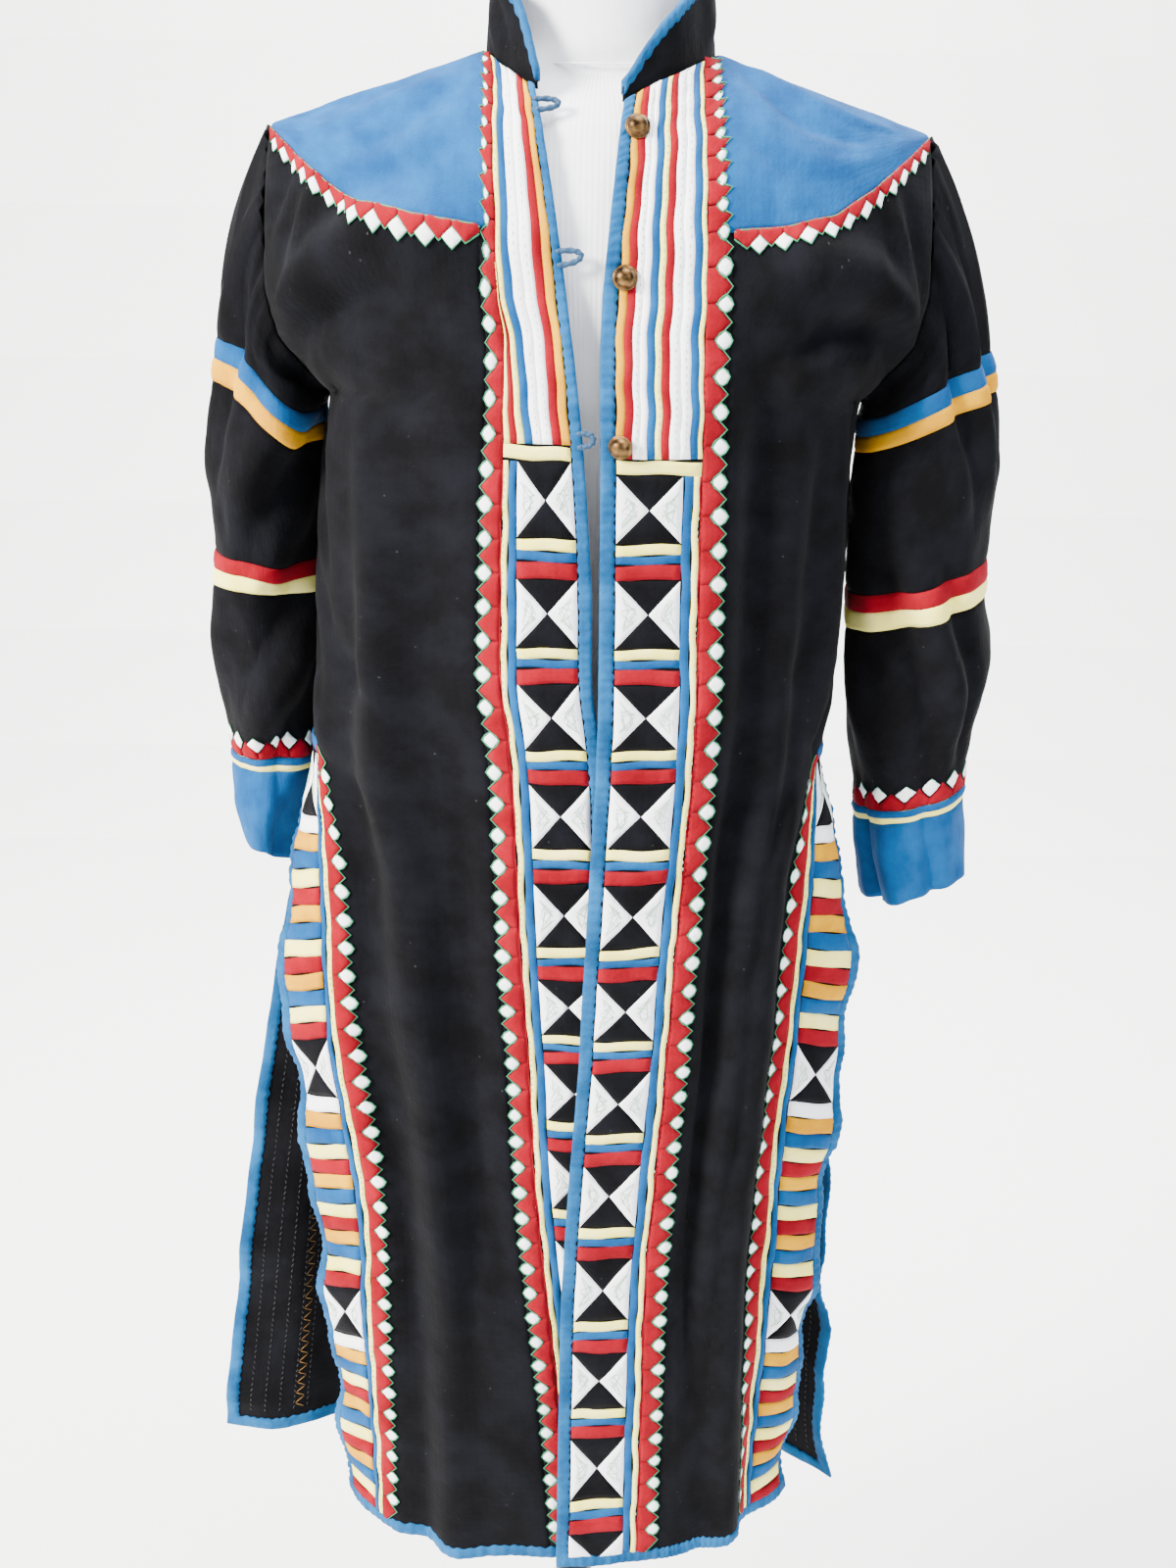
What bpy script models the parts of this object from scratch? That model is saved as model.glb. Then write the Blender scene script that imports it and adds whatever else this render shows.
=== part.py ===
"""Patchwork duster coat hanging open on a limbless dress form with a round stand.

Metres, +Z up. The floor is z = 0, the form's axis is the Z axis and the coat's front faces -Y,
so the wearer's right side is at -X. Every cloth piece is a wall with its own thickness, made
from points of a drape worked out from the section tables below.
"""
import math

import bmesh
import bpy
from mathutils import Vector

# Heights and widths of the coat.
HEM = 0.380
SLIT_TOP = 0.950
UNDERARM = 1.175
CHEST = 1.240
NECK_POINT = 1.381
NECK_HALF = 0.073
SHOULDER_HALF = 0.2065
SHOULDER_SLOPE = 0.3365
FRONT_WIDTH = 0.240
BACK_HALF = 0.240
BACK_NECK_HALF = 0.085
BACK_NECK_DIP = 0.013

# Cloth and seams.
CLOTH = 0.0015
SEAM = 0.0003
PATCH_LIFT = 0.0020
TEETH_LIFT = 0.0026
PATCH_CLOTH = 0.0010
BINDING = 0.009
BINDING_IN = -0.0005
BINDING_OUT = 0.0021

# Patchwork bands and their sawtooth edges.
TEETH_START = 0.062
SAW_VALLEY = 0.067
SAW_TIP = 0.077
SIDE_PATCH = 0.052
SIDE_VALLEY = 0.056
SIDE_TIP = 0.065
TOOTH = 0.024

# Each row is one level of the fronts below the chest: the wearer's right and left side edges,
# how far the cloth bulges between them, and two exponents for how square and how flat it is.
# The back hangs flatter on the wearer's right, where its slit stands open.
SECTION_COLUMNS = ("height", "right_x", "left_x", "right_y", "left_y", "depth", "square", "flat")
RIGHT_BACK_FLAT = [
    (0.895, 0.60),
    (0.860, 0.90),
    (0.810, 1.50),
    (0.640, 3.00),
    (0.420, 3.60),
    (0.380, 3.70),
]
FRONT_SECTIONS = [
    (1.240, -0.2175, 0.2175, 0.000, 0.000, 0.125, 2.4, 0.42),
    (1.210, -0.2070, 0.2070, 0.000, 0.000, 0.130, 2.4, 0.42),
    (1.190, -0.1885, 0.1885, 0.000, 0.000, 0.132, 2.4, 0.42),
    (1.180, -0.1765, 0.1765, 0.000, 0.000, 0.133, 2.4, 0.42),
    (1.175, -0.1705, 0.1705, 0.000, 0.000, 0.133, 2.4, 0.42),
    (1.150, -0.1715, 0.1655, 0.000, 0.000, 0.134, 2.4, 0.42),
    (1.075, -0.1760, 0.1645, 0.000, 0.000, 0.134, 2.4, 0.42),
    (0.990, -0.1780, 0.1600, -0.002, -0.002, 0.133, 2.4, 0.42),
    (0.950, -0.1790, 0.1555, -0.004, -0.004, 0.130, 2.4, 0.42),
    (0.930, -0.1800, 0.1565, -0.006, -0.006, 0.128, 2.4, 0.45),
    (0.895, -0.1900, 0.1660, -0.024, -0.024, 0.115, 2.4, 0.60),
    (0.810, -0.2080, 0.1820, -0.052, -0.052, 0.090, 2.4, 0.85),
    (0.640, -0.1880, 0.1720, -0.070, -0.062, 0.075, 2.6, 0.85),
    (0.420, -0.1680, 0.1550, -0.067, -0.056, 0.078, 3.0, 0.85),
    (0.380, -0.1660, 0.1540, -0.066, -0.055, 0.079, 3.0, 0.85),
]
BACK_SECTIONS = [
    (1.240, -0.2175, 0.2175, 0.000, 0.000, 0.105, 2.4, 0.42),
    (1.210, -0.2070, 0.2070, 0.000, 0.000, 0.108, 2.4, 0.42),
    (1.190, -0.1885, 0.1885, 0.000, 0.000, 0.110, 2.4, 0.42),
    (1.180, -0.1765, 0.1765, 0.000, 0.000, 0.110, 2.4, 0.42),
    (1.175, -0.1705, 0.1705, 0.000, 0.000, 0.110, 2.4, 0.42),
    (1.150, -0.1715, 0.1655, 0.000, 0.000, 0.110, 2.4, 0.42),
    (1.075, -0.1760, 0.1645, 0.000, 0.000, 0.107, 2.4, 0.42),
    (0.990, -0.1780, 0.1600, -0.002, -0.002, 0.108, 2.4, 0.42),
    (0.950, -0.1790, 0.1555, -0.004, -0.004, 0.113, 2.4, 0.42),
    (0.930, -0.1800, 0.1565, -0.006, -0.006, 0.114, 2.4, 0.45),
    (0.895, -0.1860, 0.1640, 0.006, -0.006, 0.116, 2.4, 0.60),
    (0.860, -0.1940, 0.1720, 0.012, -0.010, 0.116, 2.4, 0.75),
    (0.810, -0.2130, 0.1770, 0.010, -0.015, 0.114, 2.4, 0.80),
    (0.640, -0.2420, 0.1760, 0.008, -0.030, 0.106, 2.4, 0.85),
    (0.420, -0.2680, 0.1840, 0.005, -0.045, 0.096, 2.4, 0.85),
    (0.380, -0.2720, 0.1860, 0.004, -0.048, 0.095, 2.4, 0.85),
]

# Where each front's open edge hangs, from the neck corner down to the hem.
EDGE_COLUMNS = ("height", "right_x", "left_x")
FRONT_EDGES = [
    (1.240, -0.0178, 0.0030),
    (1.200, -0.0120, 0.0024),
    (1.150, -0.0062, 0.0036),
    (1.069, 0.0000, 0.0046),
    (1.005, 0.0018, 0.0052),
    (0.973, 0.0065, 0.0049),
    (0.941, 0.0095, 0.0044),
    (0.900, 0.0118, 0.0022),
    (0.820, 0.0160, -0.0008),
    (0.750, 0.0215, -0.0035),
    (0.666, 0.0265, -0.0085),
    (0.579, 0.0355, -0.0120),
    (0.516, 0.0425, -0.0123),
    (0.437, 0.0500, -0.0125),
    (0.380, 0.0545, -0.0125),
]
NECK_CORNERS = {"right": (-0.0385, 1.357), "left": (0.0135, 1.350)}

# How much the wearer's left front lies over the right one, and how far the bands lean.
OVERLAP_COLUMNS = ("height", "step", "right_scale", "left_scale")
OVERLAP = [
    (1.240, 0.0000, 0.66, 1.00),
    (1.214, 0.0000, 0.66, 1.00),
    (1.186, 0.0000, 0.71, 1.00),
    (1.157, 0.0000, 0.77, 1.00),
    (1.127, 0.0000, 0.83, 1.00),
    (1.060, 0.0000, 0.91, 1.00),
    (0.940, 0.0080, 0.92, 1.00),
    (0.800, 0.0090, 0.92, 0.93),
    (0.380, 0.0090, 0.92, 0.92),
]

# The armhole's edge in the front view, below the chest level.
ARMHOLE_COLUMNS = ("height", "half_width")
ARMHOLE = [
    (1.240, 0.2060),
    (1.210, 0.1995),
    (1.190, 0.1860),
    (1.180, 0.1750),
    (1.175, 0.1705),
]

# Large folds: where each one runs across its panel, how wide and deep it is, and its ends.
# A negative depth is a trough and a positive one a ridge.
FOLD_COLUMNS = ("panel", "across", "half_width", "depth", "top", "bottom", "drift")
FOLDS = [
    ("left", 0.104, 0.026, -0.014, 1.250, 0.520, -0.006),
    ("left", 0.150, 0.030, 0.009, 1.000, 0.300, 0.004),
    ("left", 0.190, 0.026, -0.006, 0.900, 0.300, 0.000),
    ("right", 0.104, 0.028, -0.008, 1.180, 0.560, 0.000),
    ("right", 0.133, 0.024, 0.008, 1.120, 0.300, 0.004),
    ("right", 0.158, 0.024, -0.008, 1.100, 0.300, -0.004),
    ("back", -0.150, 0.050, 0.010, 1.100, 0.300, -0.010),
    ("back", -0.070, 0.045, -0.009, 1.000, 0.300, 0.000),
    ("back", 0.010, 0.045, 0.008, 0.980, 0.300, 0.008),
    ("back", 0.090, 0.050, -0.008, 1.060, 0.300, 0.006),
    ("back", 0.150, 0.040, 0.007, 0.900, 0.300, 0.010),
]

# The lower edge of the yokes, from the band out to the shoulder end.
YOKE_COLUMNS = ("distance", "height")
YOKE_EDGE = [
    (0.060, 1.277),
    (0.080, 1.278),
    (0.105, 1.280),
    (0.135, 1.287),
    (0.160, 1.302),
    (0.185, 1.320),
    (0.2065, 1.3340),
]
YOKE_BAND = 0.013

# Sleeve rings from the shoulder to the hand: the outer and the underarm point in the front
# view, the ring's middle in depth, and half its depth.
SLEEVE_COLUMNS = ("outer_x", "outer_z", "inner_x", "inner_z", "mid_y", "half_depth")
LEFT_SLEEVE = [
    (0.2490, 1.203, 0.1755, 1.1600, 0.000, 0.057),
    (0.2530, 1.191, 0.1752, 1.1490, 0.000, 0.057),
    (0.2555, 1.180, 0.1748, 1.1390, 0.000, 0.057),
    (0.2620, 1.145, 0.1733, 1.1130, 0.000, 0.060),
    (0.2635, 1.105, 0.1722, 1.0780, 0.000, 0.060),
    (0.2615, 1.071, 0.1725, 1.0450, 0.000, 0.055),
    (0.2620, 1.059, 0.1735, 1.0340, 0.000, 0.055),
    (0.2620, 1.048, 0.1745, 1.0220, 0.000, 0.055),
    (0.2702, 1.005, 0.1765, 0.9850, 0.000, 0.057),
    (0.2620, 0.950, 0.1830, 0.9320, 0.000, 0.048),
    (0.2575, 0.915, 0.1870, 0.8970, 0.000, 0.041),
    (0.2580, 0.906, 0.1875, 0.8880, 0.000, 0.041),
    (0.2610, 0.880, 0.1900, 0.8600, 0.000, 0.041),
    (0.2620, 0.850, 0.1950, 0.8310, 0.000, 0.039),
]
RIGHT_SLEEVE = [
    (-0.2410, 1.209, -0.1788, 1.1620, 0.010, 0.056),
    (-0.2430, 1.196, -0.1795, 1.1510, 0.010, 0.056),
    (-0.2460, 1.182, -0.1800, 1.1400, 0.010, 0.056),
    (-0.2530, 1.145, -0.1818, 1.1150, 0.010, 0.058),
    (-0.2535, 1.103, -0.1840, 1.0850, 0.010, 0.058),
    (-0.2510, 1.067, -0.1855, 1.0600, 0.010, 0.054),
    (-0.2510, 1.058, -0.1860, 1.0500, 0.010, 0.054),
    (-0.2500, 1.048, -0.1865, 1.0400, 0.010, 0.054),
    (-0.2520, 1.005, -0.1873, 0.9980, 0.012, 0.055),
    (-0.2490, 0.955, -0.1900, 0.9510, 0.016, 0.046),
    (-0.2465, 0.926, -0.1930, 0.9230, 0.018, 0.040),
    (-0.2465, 0.917, -0.1945, 0.9140, 0.018, 0.040),
    (-0.2450, 0.890, -0.2005, 0.8830, 0.018, 0.040),
    (-0.2400, 0.862, -0.2050, 0.8480, 0.018, 0.038),
]
# The cloth between the armhole and the first strip fans out: how far each ring is on its way,
# and how much it stands out on the shoulder side and under the arm. The turn spreads the
# armhole's points outwards round the arm.
FAN_COLUMNS = ("share", "puff", "under")
SLEEVE_FAN = [
    (0.22, 0.0050, 0.0034),
    (0.48, 0.0075, 0.0026),
    (0.75, 0.0050, 0.0014),
]
SLEEVE_TURN = 0.38
# The sleeve pieces: the first and last ring of each one in the tables above. Ring 0 is the
# armhole, rings 1 to 3 are the fan, and the table's rows are ring 4 and on.
SLEEVE_PIECES = [
    ("sleeve_upper", 0, 4, "washed_black"),
    ("sleeve_blue_strip", 4, 5, "mid_blue"),
    ("sleeve_gold_strip", 5, 6, "gold"),
    ("sleeve_middle", 6, 9, "washed_black"),
    ("sleeve_red_strip", 9, 10, "red"),
    ("sleeve_cream_strip", 10, 11, "cream"),
    ("sleeve_lower", 11, 14, "washed_black"),
    ("cuff_stripe", 14, 15, "cream"),
    ("cuff", 15, 17, "mid_blue"),
]
CUFF_RING = 14

# The collar stands inside the neckline.
COLLAR_HEIGHT = 0.046
COLLAR_CLOTH = 0.0020
COLLAR_INSET = 0.0008
COLLAR_RISE = {"right": 0.040, "left": 0.078}
COLLAR_BINDING = 0.008

# Buttons on the wearer's left front and loops on the right one.
BUTTON_RADIUS = 0.0075
BUTTON_HEIGHTS = (1.335, 1.251, 1.155)
BUTTON_ACROSS = 0.0125
LOOP_COLUMNS = ("height", "reach")
LOOPS = [
    (1.340, 0.012),
    (1.262, 0.012),
    (1.158, 0.007),
]
LOOP_RADIUS = 0.0015
LOOP_GAP = 0.0007
LOOP_SPREAD = 0.0040

# Dress form and stand.
FORM_SHRINK = 0.93
FORM_NECK_SHRINK = 0.35
FORM_DROP = 0.0007
FORM_COLUMNS = ("height", "half_width", "front", "back")
FORM_NECK = [
    (1.452, 0.0590, 0.0560, 0.0440),
    (1.425, 0.0560, 0.0535, 0.0385),
    (1.400, 0.0560, 0.0540, 0.0370),
    (1.388, 0.0575, 0.0550, 0.0375),
    (1.381, 0.0600, 0.0555, 0.0380),
    (1.376, 0.0640, 0.0560, 0.0385),
]
FORM_SHOULDER_LEVELS = (1.3695, 1.363, 1.355, 1.345, 1.338, 1.328, 1.308, 1.275, 1.240)
FORM_CAP_COLUMNS = ("height", "half_width")
FORM_CAP = [
    (1.350, 0.2500),
    (1.345, 0.1800),
    (1.338, 0.1900),
    (1.328, 0.1945),
    (1.308, 0.1945),
    (1.275, 0.1850),
    (1.240, 0.1730),
]
FORM_TORSO = [
    (1.205, 0.1600, 0.1140, 0.0960),
    (1.165, 0.1520, 0.1150, 0.0930),
    (1.120, 0.1410, 0.1040, 0.0870),
    (1.060, 0.1240, 0.0880, 0.0800),
    (1.000, 0.1190, 0.0840, 0.0800),
    (0.940, 0.1300, 0.0880, 0.0880),
    (0.880, 0.1460, 0.0920, 0.0940),
    (0.820, 0.1520, 0.0920, 0.0880),
    (0.760, 0.1480, 0.0880, 0.0760),
    (0.715, 0.1380, 0.0820, 0.0660),
]
FORM_SIDES = 24
POLE_RADIUS = 0.014
POLE_TOP = 0.7145
BASE_RADIUS = 0.195
BASE_HEIGHT = 0.014
HUB_RADIUS = 0.026
HUB_HEIGHT = 0.050


def smooth_step(amount):
    """Ease from 0 to 1 with flat ends."""
    amount = min(1.0, max(0.0, amount))
    return amount * amount * (3.0 - 2.0 * amount)


def table_value(table, columns, column, height):
    """Read one column of a table that runs downwards, smoothly between its rows."""
    place = columns.index(column)
    if height >= table[0][0]:
        return table[0][place]
    if height <= table[-1][0]:
        return table[-1][place]
    for row in range(len(table) - 1):
        if height >= table[row + 1][0]:
            break
    low, high = table[row + 1], table[row]
    span = high[0] - low[0]
    amount = (height - low[0]) / span

    def slope(index):
        before = table[max(index - 1, 0)]
        after = table[min(index + 1, len(table) - 1)]
        return (before[place] - after[place]) / (before[0] - after[0])

    square, cube = amount * amount, amount ** 3
    start = (2.0 * cube - 3.0 * square + 1.0) * low[place]
    start_slope = (cube - 2.0 * square + amount) * span * slope(row + 1)
    end = (3.0 * square - 2.0 * cube) * high[place]
    end_slope = (cube - square) * span * slope(row)
    return start + start_slope + end + end_slope


def straight_value(table, at):
    """Read the second column of a two-column table by its first, straight between rows."""
    rows = sorted(table)
    if at <= rows[0][0]:
        return rows[0][1]
    for low, high in zip(rows, rows[1:]):
        if at <= high[0]:
            return low[1] + (high[1] - low[1]) * (at - low[0]) / (high[0] - low[0])
    return rows[-1][1]


def crest_height(distance):
    """Height of the shoulder line at a distance from the middle."""
    return NECK_POINT + (NECK_HALF - abs(distance)) * SHOULDER_SLOPE


def section_y(face, height, at):
    """Depth of the front or back cloth at a level at or below the chest."""
    table = FRONT_SECTIONS if face == "front" else BACK_SECTIONS
    row = {name: table_value(table, SECTION_COLUMNS, name, height) for name in SECTION_COLUMNS[1:]}
    across = (at - row["right_x"]) / (row["left_x"] - row["right_x"])
    turn = min(1.0, abs(2.0 * across - 1.0))
    flat = row["flat"]
    if face == "back" and across < 0.5 and height < RIGHT_BACK_FLAT[0][0]:
        flat = straight_value(RIGHT_BACK_FLAT, height)
    bulge = row["depth"] * (1.0 - turn ** row["square"]) ** flat
    level = row["right_y"] + (row["left_y"] - row["right_y"]) * across
    return level - bulge if face == "front" else level + bulge


def side_limit(face, side, height):
    """Where a panel ends sideways: its side edge, or the armhole above the underarm."""
    sign = 1.0 if side == "left" else -1.0
    if height > UNDERARM:
        return sign * straight_value(ARMHOLE, height)
    table = FRONT_SECTIONS if face == "front" else BACK_SECTIONS
    return table_value(table, SECTION_COLUMNS, side + "_x", height)


_lines = {}


def section_line(face, side, height):
    """Points and running lengths of one level, from the front edge or side to the side."""
    key = (face, side, round(height, 5))
    if key in _lines:
        return _lines[key]
    end = side_limit(face, side, height)
    if face == "front":
        start = table_value(FRONT_EDGES, EDGE_COLUMNS, side + "_x", height)
    else:
        start = side_limit(face, "right", height)
    table = FRONT_SECTIONS if face == "front" else BACK_SECTIONS
    right = table_value(table, SECTION_COLUMNS, "right_x", height)
    left = table_value(table, SECTION_COLUMNS, "left_x", height)
    middle, half = (right + left) / 2.0, (left - right) / 2.0
    begin = math.asin(max(-1.0, min(1.0, (start - middle) / half)))
    finish = math.asin(max(-1.0, min(1.0, (end - middle) / half)))
    points = []
    steps = 72
    for step in range(steps + 1):
        angle = begin + (finish - begin) * step / steps
        at = middle + half * math.sin(angle)
        points.append((at, section_y(face, height, at)))
    lengths = [0.0]
    for before, after in zip(points, points[1:]):
        lengths.append(lengths[-1] + math.dist(before, after))
    _lines[key] = (points, lengths)
    return _lines[key]


def along_line(line, length):
    """The point at a running length on a section line."""
    points, lengths = line
    length = min(max(length, 0.0), lengths[-1])
    low, high = 0, len(lengths) - 1
    while high - low > 1:
        middle = (low + high) // 2
        if lengths[middle] <= length:
            low = middle
        else:
            high = middle
    amount = (length - lengths[low]) / (lengths[high] - lengths[low])
    first, second = points[low], points[high]
    return first[0] + (second[0] - first[0]) * amount, first[1] + (second[1] - first[1]) * amount


def front_length(side, across, height):
    """Running length on a front for a flat distance from its open edge."""
    total = section_line("front", side, height)[1][-1]
    band = SAW_TIP * table_value(OVERLAP, OVERLAP_COLUMNS, side + "_scale", height)
    if across <= SAW_TIP:
        return across * band / SAW_TIP
    side_start = FRONT_WIDTH - SIDE_TIP
    if across >= side_start:
        return total - (FRONT_WIDTH - across)
    return band + (total - SIDE_TIP - band) * (across - SAW_TIP) / (side_start - SAW_TIP)


def over_shoulder(face, start, end, top_height, up):
    """A point above the chest, where each upright column of the cloth is a quarter ellipse."""
    amount = (up - CHEST) / (NECK_POINT - CHEST)
    at = start + (end - start) * amount
    rise = crest_height(at) - CHEST
    top_rise = crest_height(end) - CHEST
    top_angle = math.asin(min(1.0, (top_height - CHEST) / top_rise))
    angle = amount * top_angle
    depth = section_y(face, CHEST, at) * math.cos(angle)
    return Vector((at, depth, CHEST + rise * math.sin(angle)))


def front_point(side, across, up):
    """A front's inner face at a flat distance from its edge and a nominal height."""
    sign = 1.0 if side == "left" else -1.0
    level = min(up, CHEST)
    line = section_line("front", side, level)
    at, depth = along_line(line, front_length(side, across, level))
    if up > CHEST:
        corner_x, corner_z = NECK_CORNERS[side]
        if across <= SAW_TIP:
            amount = across / SAW_TIP
            end = corner_x + (sign * NECK_HALF - corner_x) * amount
            return over_shoulder("front", at, end, corner_z + (NECK_POINT - corner_z) * amount, up)
        amount = (across - SAW_TIP) / (FRONT_WIDTH - SAW_TIP)
        end = sign * (NECK_HALF + (SHOULDER_HALF - NECK_HALF) * amount)
        return over_shoulder("front", at, end, crest_height(end), up)
    if side == "left":
        step = table_value(OVERLAP, OVERLAP_COLUMNS, "step", up)
        depth -= step * max(0.0, 1.0 - across / FRONT_WIDTH)
    return Vector((at, depth, up))


def back_point(across, up):
    """The back's inner face at a flat distance from its middle and a nominal height."""
    level = min(up, CHEST)
    line = section_line("back", "left", level)
    at, depth = along_line(line, line[1][-1] * (across + BACK_HALF) / (2.0 * BACK_HALF))
    if up > CHEST:
        sign = 1.0 if across >= 0.0 else -1.0
        if abs(across) <= BACK_NECK_HALF:
            end = NECK_HALF * across / BACK_NECK_HALF
            top = NECK_POINT - BACK_NECK_DIP * (1.0 - (end / NECK_HALF) ** 2)
            return over_shoulder("back", at, end, top, up)
        amount = (abs(across) - BACK_NECK_HALF) / (BACK_HALF - BACK_NECK_HALF)
        end = sign * (NECK_HALF + (SHOULDER_HALF - NECK_HALF) * amount)
        return over_shoulder("back", at, end, crest_height(end), up)
    return Vector((at, depth, up))


def base_point(panel, across, up):
    """A point of the unfolded drape of one panel."""
    if panel == "back":
        return back_point(across, up)
    return front_point(panel, across, up)


def base_normal(panel, across, up):
    """The outward direction of the unfolded drape."""
    step = 0.0015
    low, high = (-BACK_HALF, BACK_HALF) if panel == "back" else (0.0, FRONT_WIDTH)
    first, second = max(low, across - step), min(high, across + step)
    bottom, top = up - step, min(up + step, NECK_POINT)
    sideways = base_point(panel, second, up) - base_point(panel, first, up)
    upwards = base_point(panel, across, top) - base_point(panel, across, bottom)
    normal = sideways.cross(upwards).normalized()
    outward = 1.0 if panel == "back" else -1.0
    if normal.y * outward < 0.0:
        normal.negate()
    return normal


def fold_height(panel, across, up):
    """How far the large folds move a panel in or out at a point."""
    total = 0.0
    for row in FOLDS:
        fold = dict(zip(FOLD_COLUMNS, row))
        if fold["panel"] != panel:
            continue
        along = (fold["top"] - up) / (fold["top"] - fold["bottom"])
        middle = fold["across"] + fold["drift"] * along
        away = abs(across - middle) / fold["half_width"]
        if away >= 1.0 or up > fold["top"]:
            continue
        ends = smooth_step((fold["top"] - up) / 0.12) * smooth_step((up - fold["bottom"]) / 0.10)
        total += fold["depth"] * ends * (0.5 + 0.5 * math.cos(math.pi * away))
    return total


def up_at_height(panel, across, height):
    """The nominal height at which a column of the drape reaches a real height."""
    low, high = HEM, NECK_POINT
    for _ in range(26):
        middle = (low + high) / 2.0
        if base_point(panel, across, middle).z < height:
            low = middle
        else:
            high = middle
    return low


def yoke_up(panel, across):
    """The nominal height of the yoke's lower edge on one column."""
    distance = abs(base_point(panel, across, NECK_POINT).x)
    return up_at_height(panel, across, straight_value(YOKE_EDGE, distance))


class Sheet:
    """A piece of cloth as a grid of points, each with its outward direction."""

    def __init__(self, columns, rows, place):
        self.columns = columns
        self.rows = rows
        cells = [[place(column, row) for column in columns] for row in rows]
        self.points = [[point for point, _ in line] for line in cells]
        self.normals = [[normal for _, normal in line] for line in cells]

    def cell(self, values, at):
        """The cell and the share of it for one coordinate."""
        at = min(max(at, values[0]), values[-1])
        index = 0
        while index < len(values) - 2 and at > values[index + 1]:
            index += 1
        return index, (at - values[index]) / (values[index + 1] - values[index])

    def at(self, column, row, lift):
        """A point on the cloth's own triangles, moved out by a lift."""
        across, sideways = self.cell(self.columns, column)
        level, upwards = self.cell(self.rows, row)

        def mixed(grid):
            first, opposite = grid[level][across], grid[level + 1][across + 1]
            if sideways >= upwards:
                beside = grid[level][across + 1]
                return first + (beside - first) * sideways + (opposite - beside) * upwards
            above = grid[level + 1][across]
            return first + (above - first) * upwards + (opposite - above) * sideways

        return mixed(self.points) + mixed(self.normals).normalized() * lift

    def moved(self, lift):
        """The whole grid moved out by a lift."""
        return [[point + normal * lift for point, normal in zip(*lines)]
                for lines in zip(self.points, self.normals)]

    def wall(self, name, material_name):
        """The cloth itself."""
        return wall(name, self.points, self.moved(CLOTH), material_name)


def material(name, colour, roughness, metallic=0.0):
    """A plain Principled material in one colour."""
    made = bpy.data.materials.get(name) or bpy.data.materials.new(name)
    made.use_nodes = True
    shader = made.node_tree.nodes["Principled BSDF"]
    shader.inputs["Base Color"].default_value = (*colour, 1.0)
    shader.inputs["Roughness"].default_value = roughness
    shader.inputs["Metallic"].default_value = metallic
    made.diffuse_color = (*colour, 1.0)
    return made


MATERIALS = {
    "washed_black": ((0.012, 0.013, 0.018), 0.85, 0.0),
    "mid_blue": ((0.060, 0.190, 0.470), 0.85, 0.0),
    "red": ((0.480, 0.022, 0.050), 0.85, 0.0),
    "gold": ((0.800, 0.430, 0.080), 0.85, 0.0),
    "cream": ((0.860, 0.830, 0.560), 0.85, 0.0),
    "patchwork": ((0.700, 0.690, 0.640), 0.85, 0.0),
    "antique_brass": ((0.210, 0.120, 0.045), 0.38, 1.0),
    "jersey": ((0.830, 0.840, 0.860), 0.90, 0.0),
    "dark_steel": ((0.016, 0.013, 0.011), 0.45, 0.6),
}


def finish(name, mesh, material_name):
    """Turn a bmesh into a named object whose faces all point out."""
    bmesh.ops.remove_doubles(mesh, verts=mesh.verts, dist=1e-6)
    bmesh.ops.recalc_face_normals(mesh, faces=mesh.faces)
    if mesh.calc_volume(signed=True) < 0.0:
        bmesh.ops.reverse_faces(mesh, faces=mesh.faces)
    data = bpy.data.meshes.new(name)
    mesh.to_mesh(data)
    mesh.free()
    data.shade_smooth()
    data.set_sharp_from_angle(angle=math.radians(40.0))
    data.materials.append(material(material_name, *MATERIALS[material_name]))
    made = bpy.data.objects.new(name, data)
    bpy.context.collection.objects.link(made)
    return made


def wall(name, inner, outer, material_name, around=False):
    """A closed wall between two grids of points, open at its ends when it goes around."""
    mesh = bmesh.new()
    rows, count = len(inner), len(inner[0])
    inside = [[mesh.verts.new(point) for point in row] for row in inner]
    outside = [[mesh.verts.new(point) for point in row] for row in outer]
    cells = count if around else count - 1
    for row in range(rows - 1):
        for cell in range(cells):
            other = (cell + 1) % count
            for side in (inside, outside):
                mesh.faces.new((side[row][cell], side[row][other], side[row + 1][other]))
                mesh.faces.new((side[row][cell], side[row + 1][other], side[row + 1][cell]))
    for cell in range(cells):
        other = (cell + 1) % count
        for row in (0, rows - 1):
            mesh.faces.new((inside[row][cell], inside[row][other],
                            outside[row][other], outside[row][cell]))
    if not around:
        for row in range(rows - 1):
            for cell in (0, count - 1):
                mesh.faces.new((inside[row][cell], inside[row + 1][cell],
                                outside[row + 1][cell], outside[row][cell]))
    bmesh.ops.triangulate(mesh, faces=[face for face in mesh.faces if len(face.verts) > 3])
    return finish(name, mesh, material_name)


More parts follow.
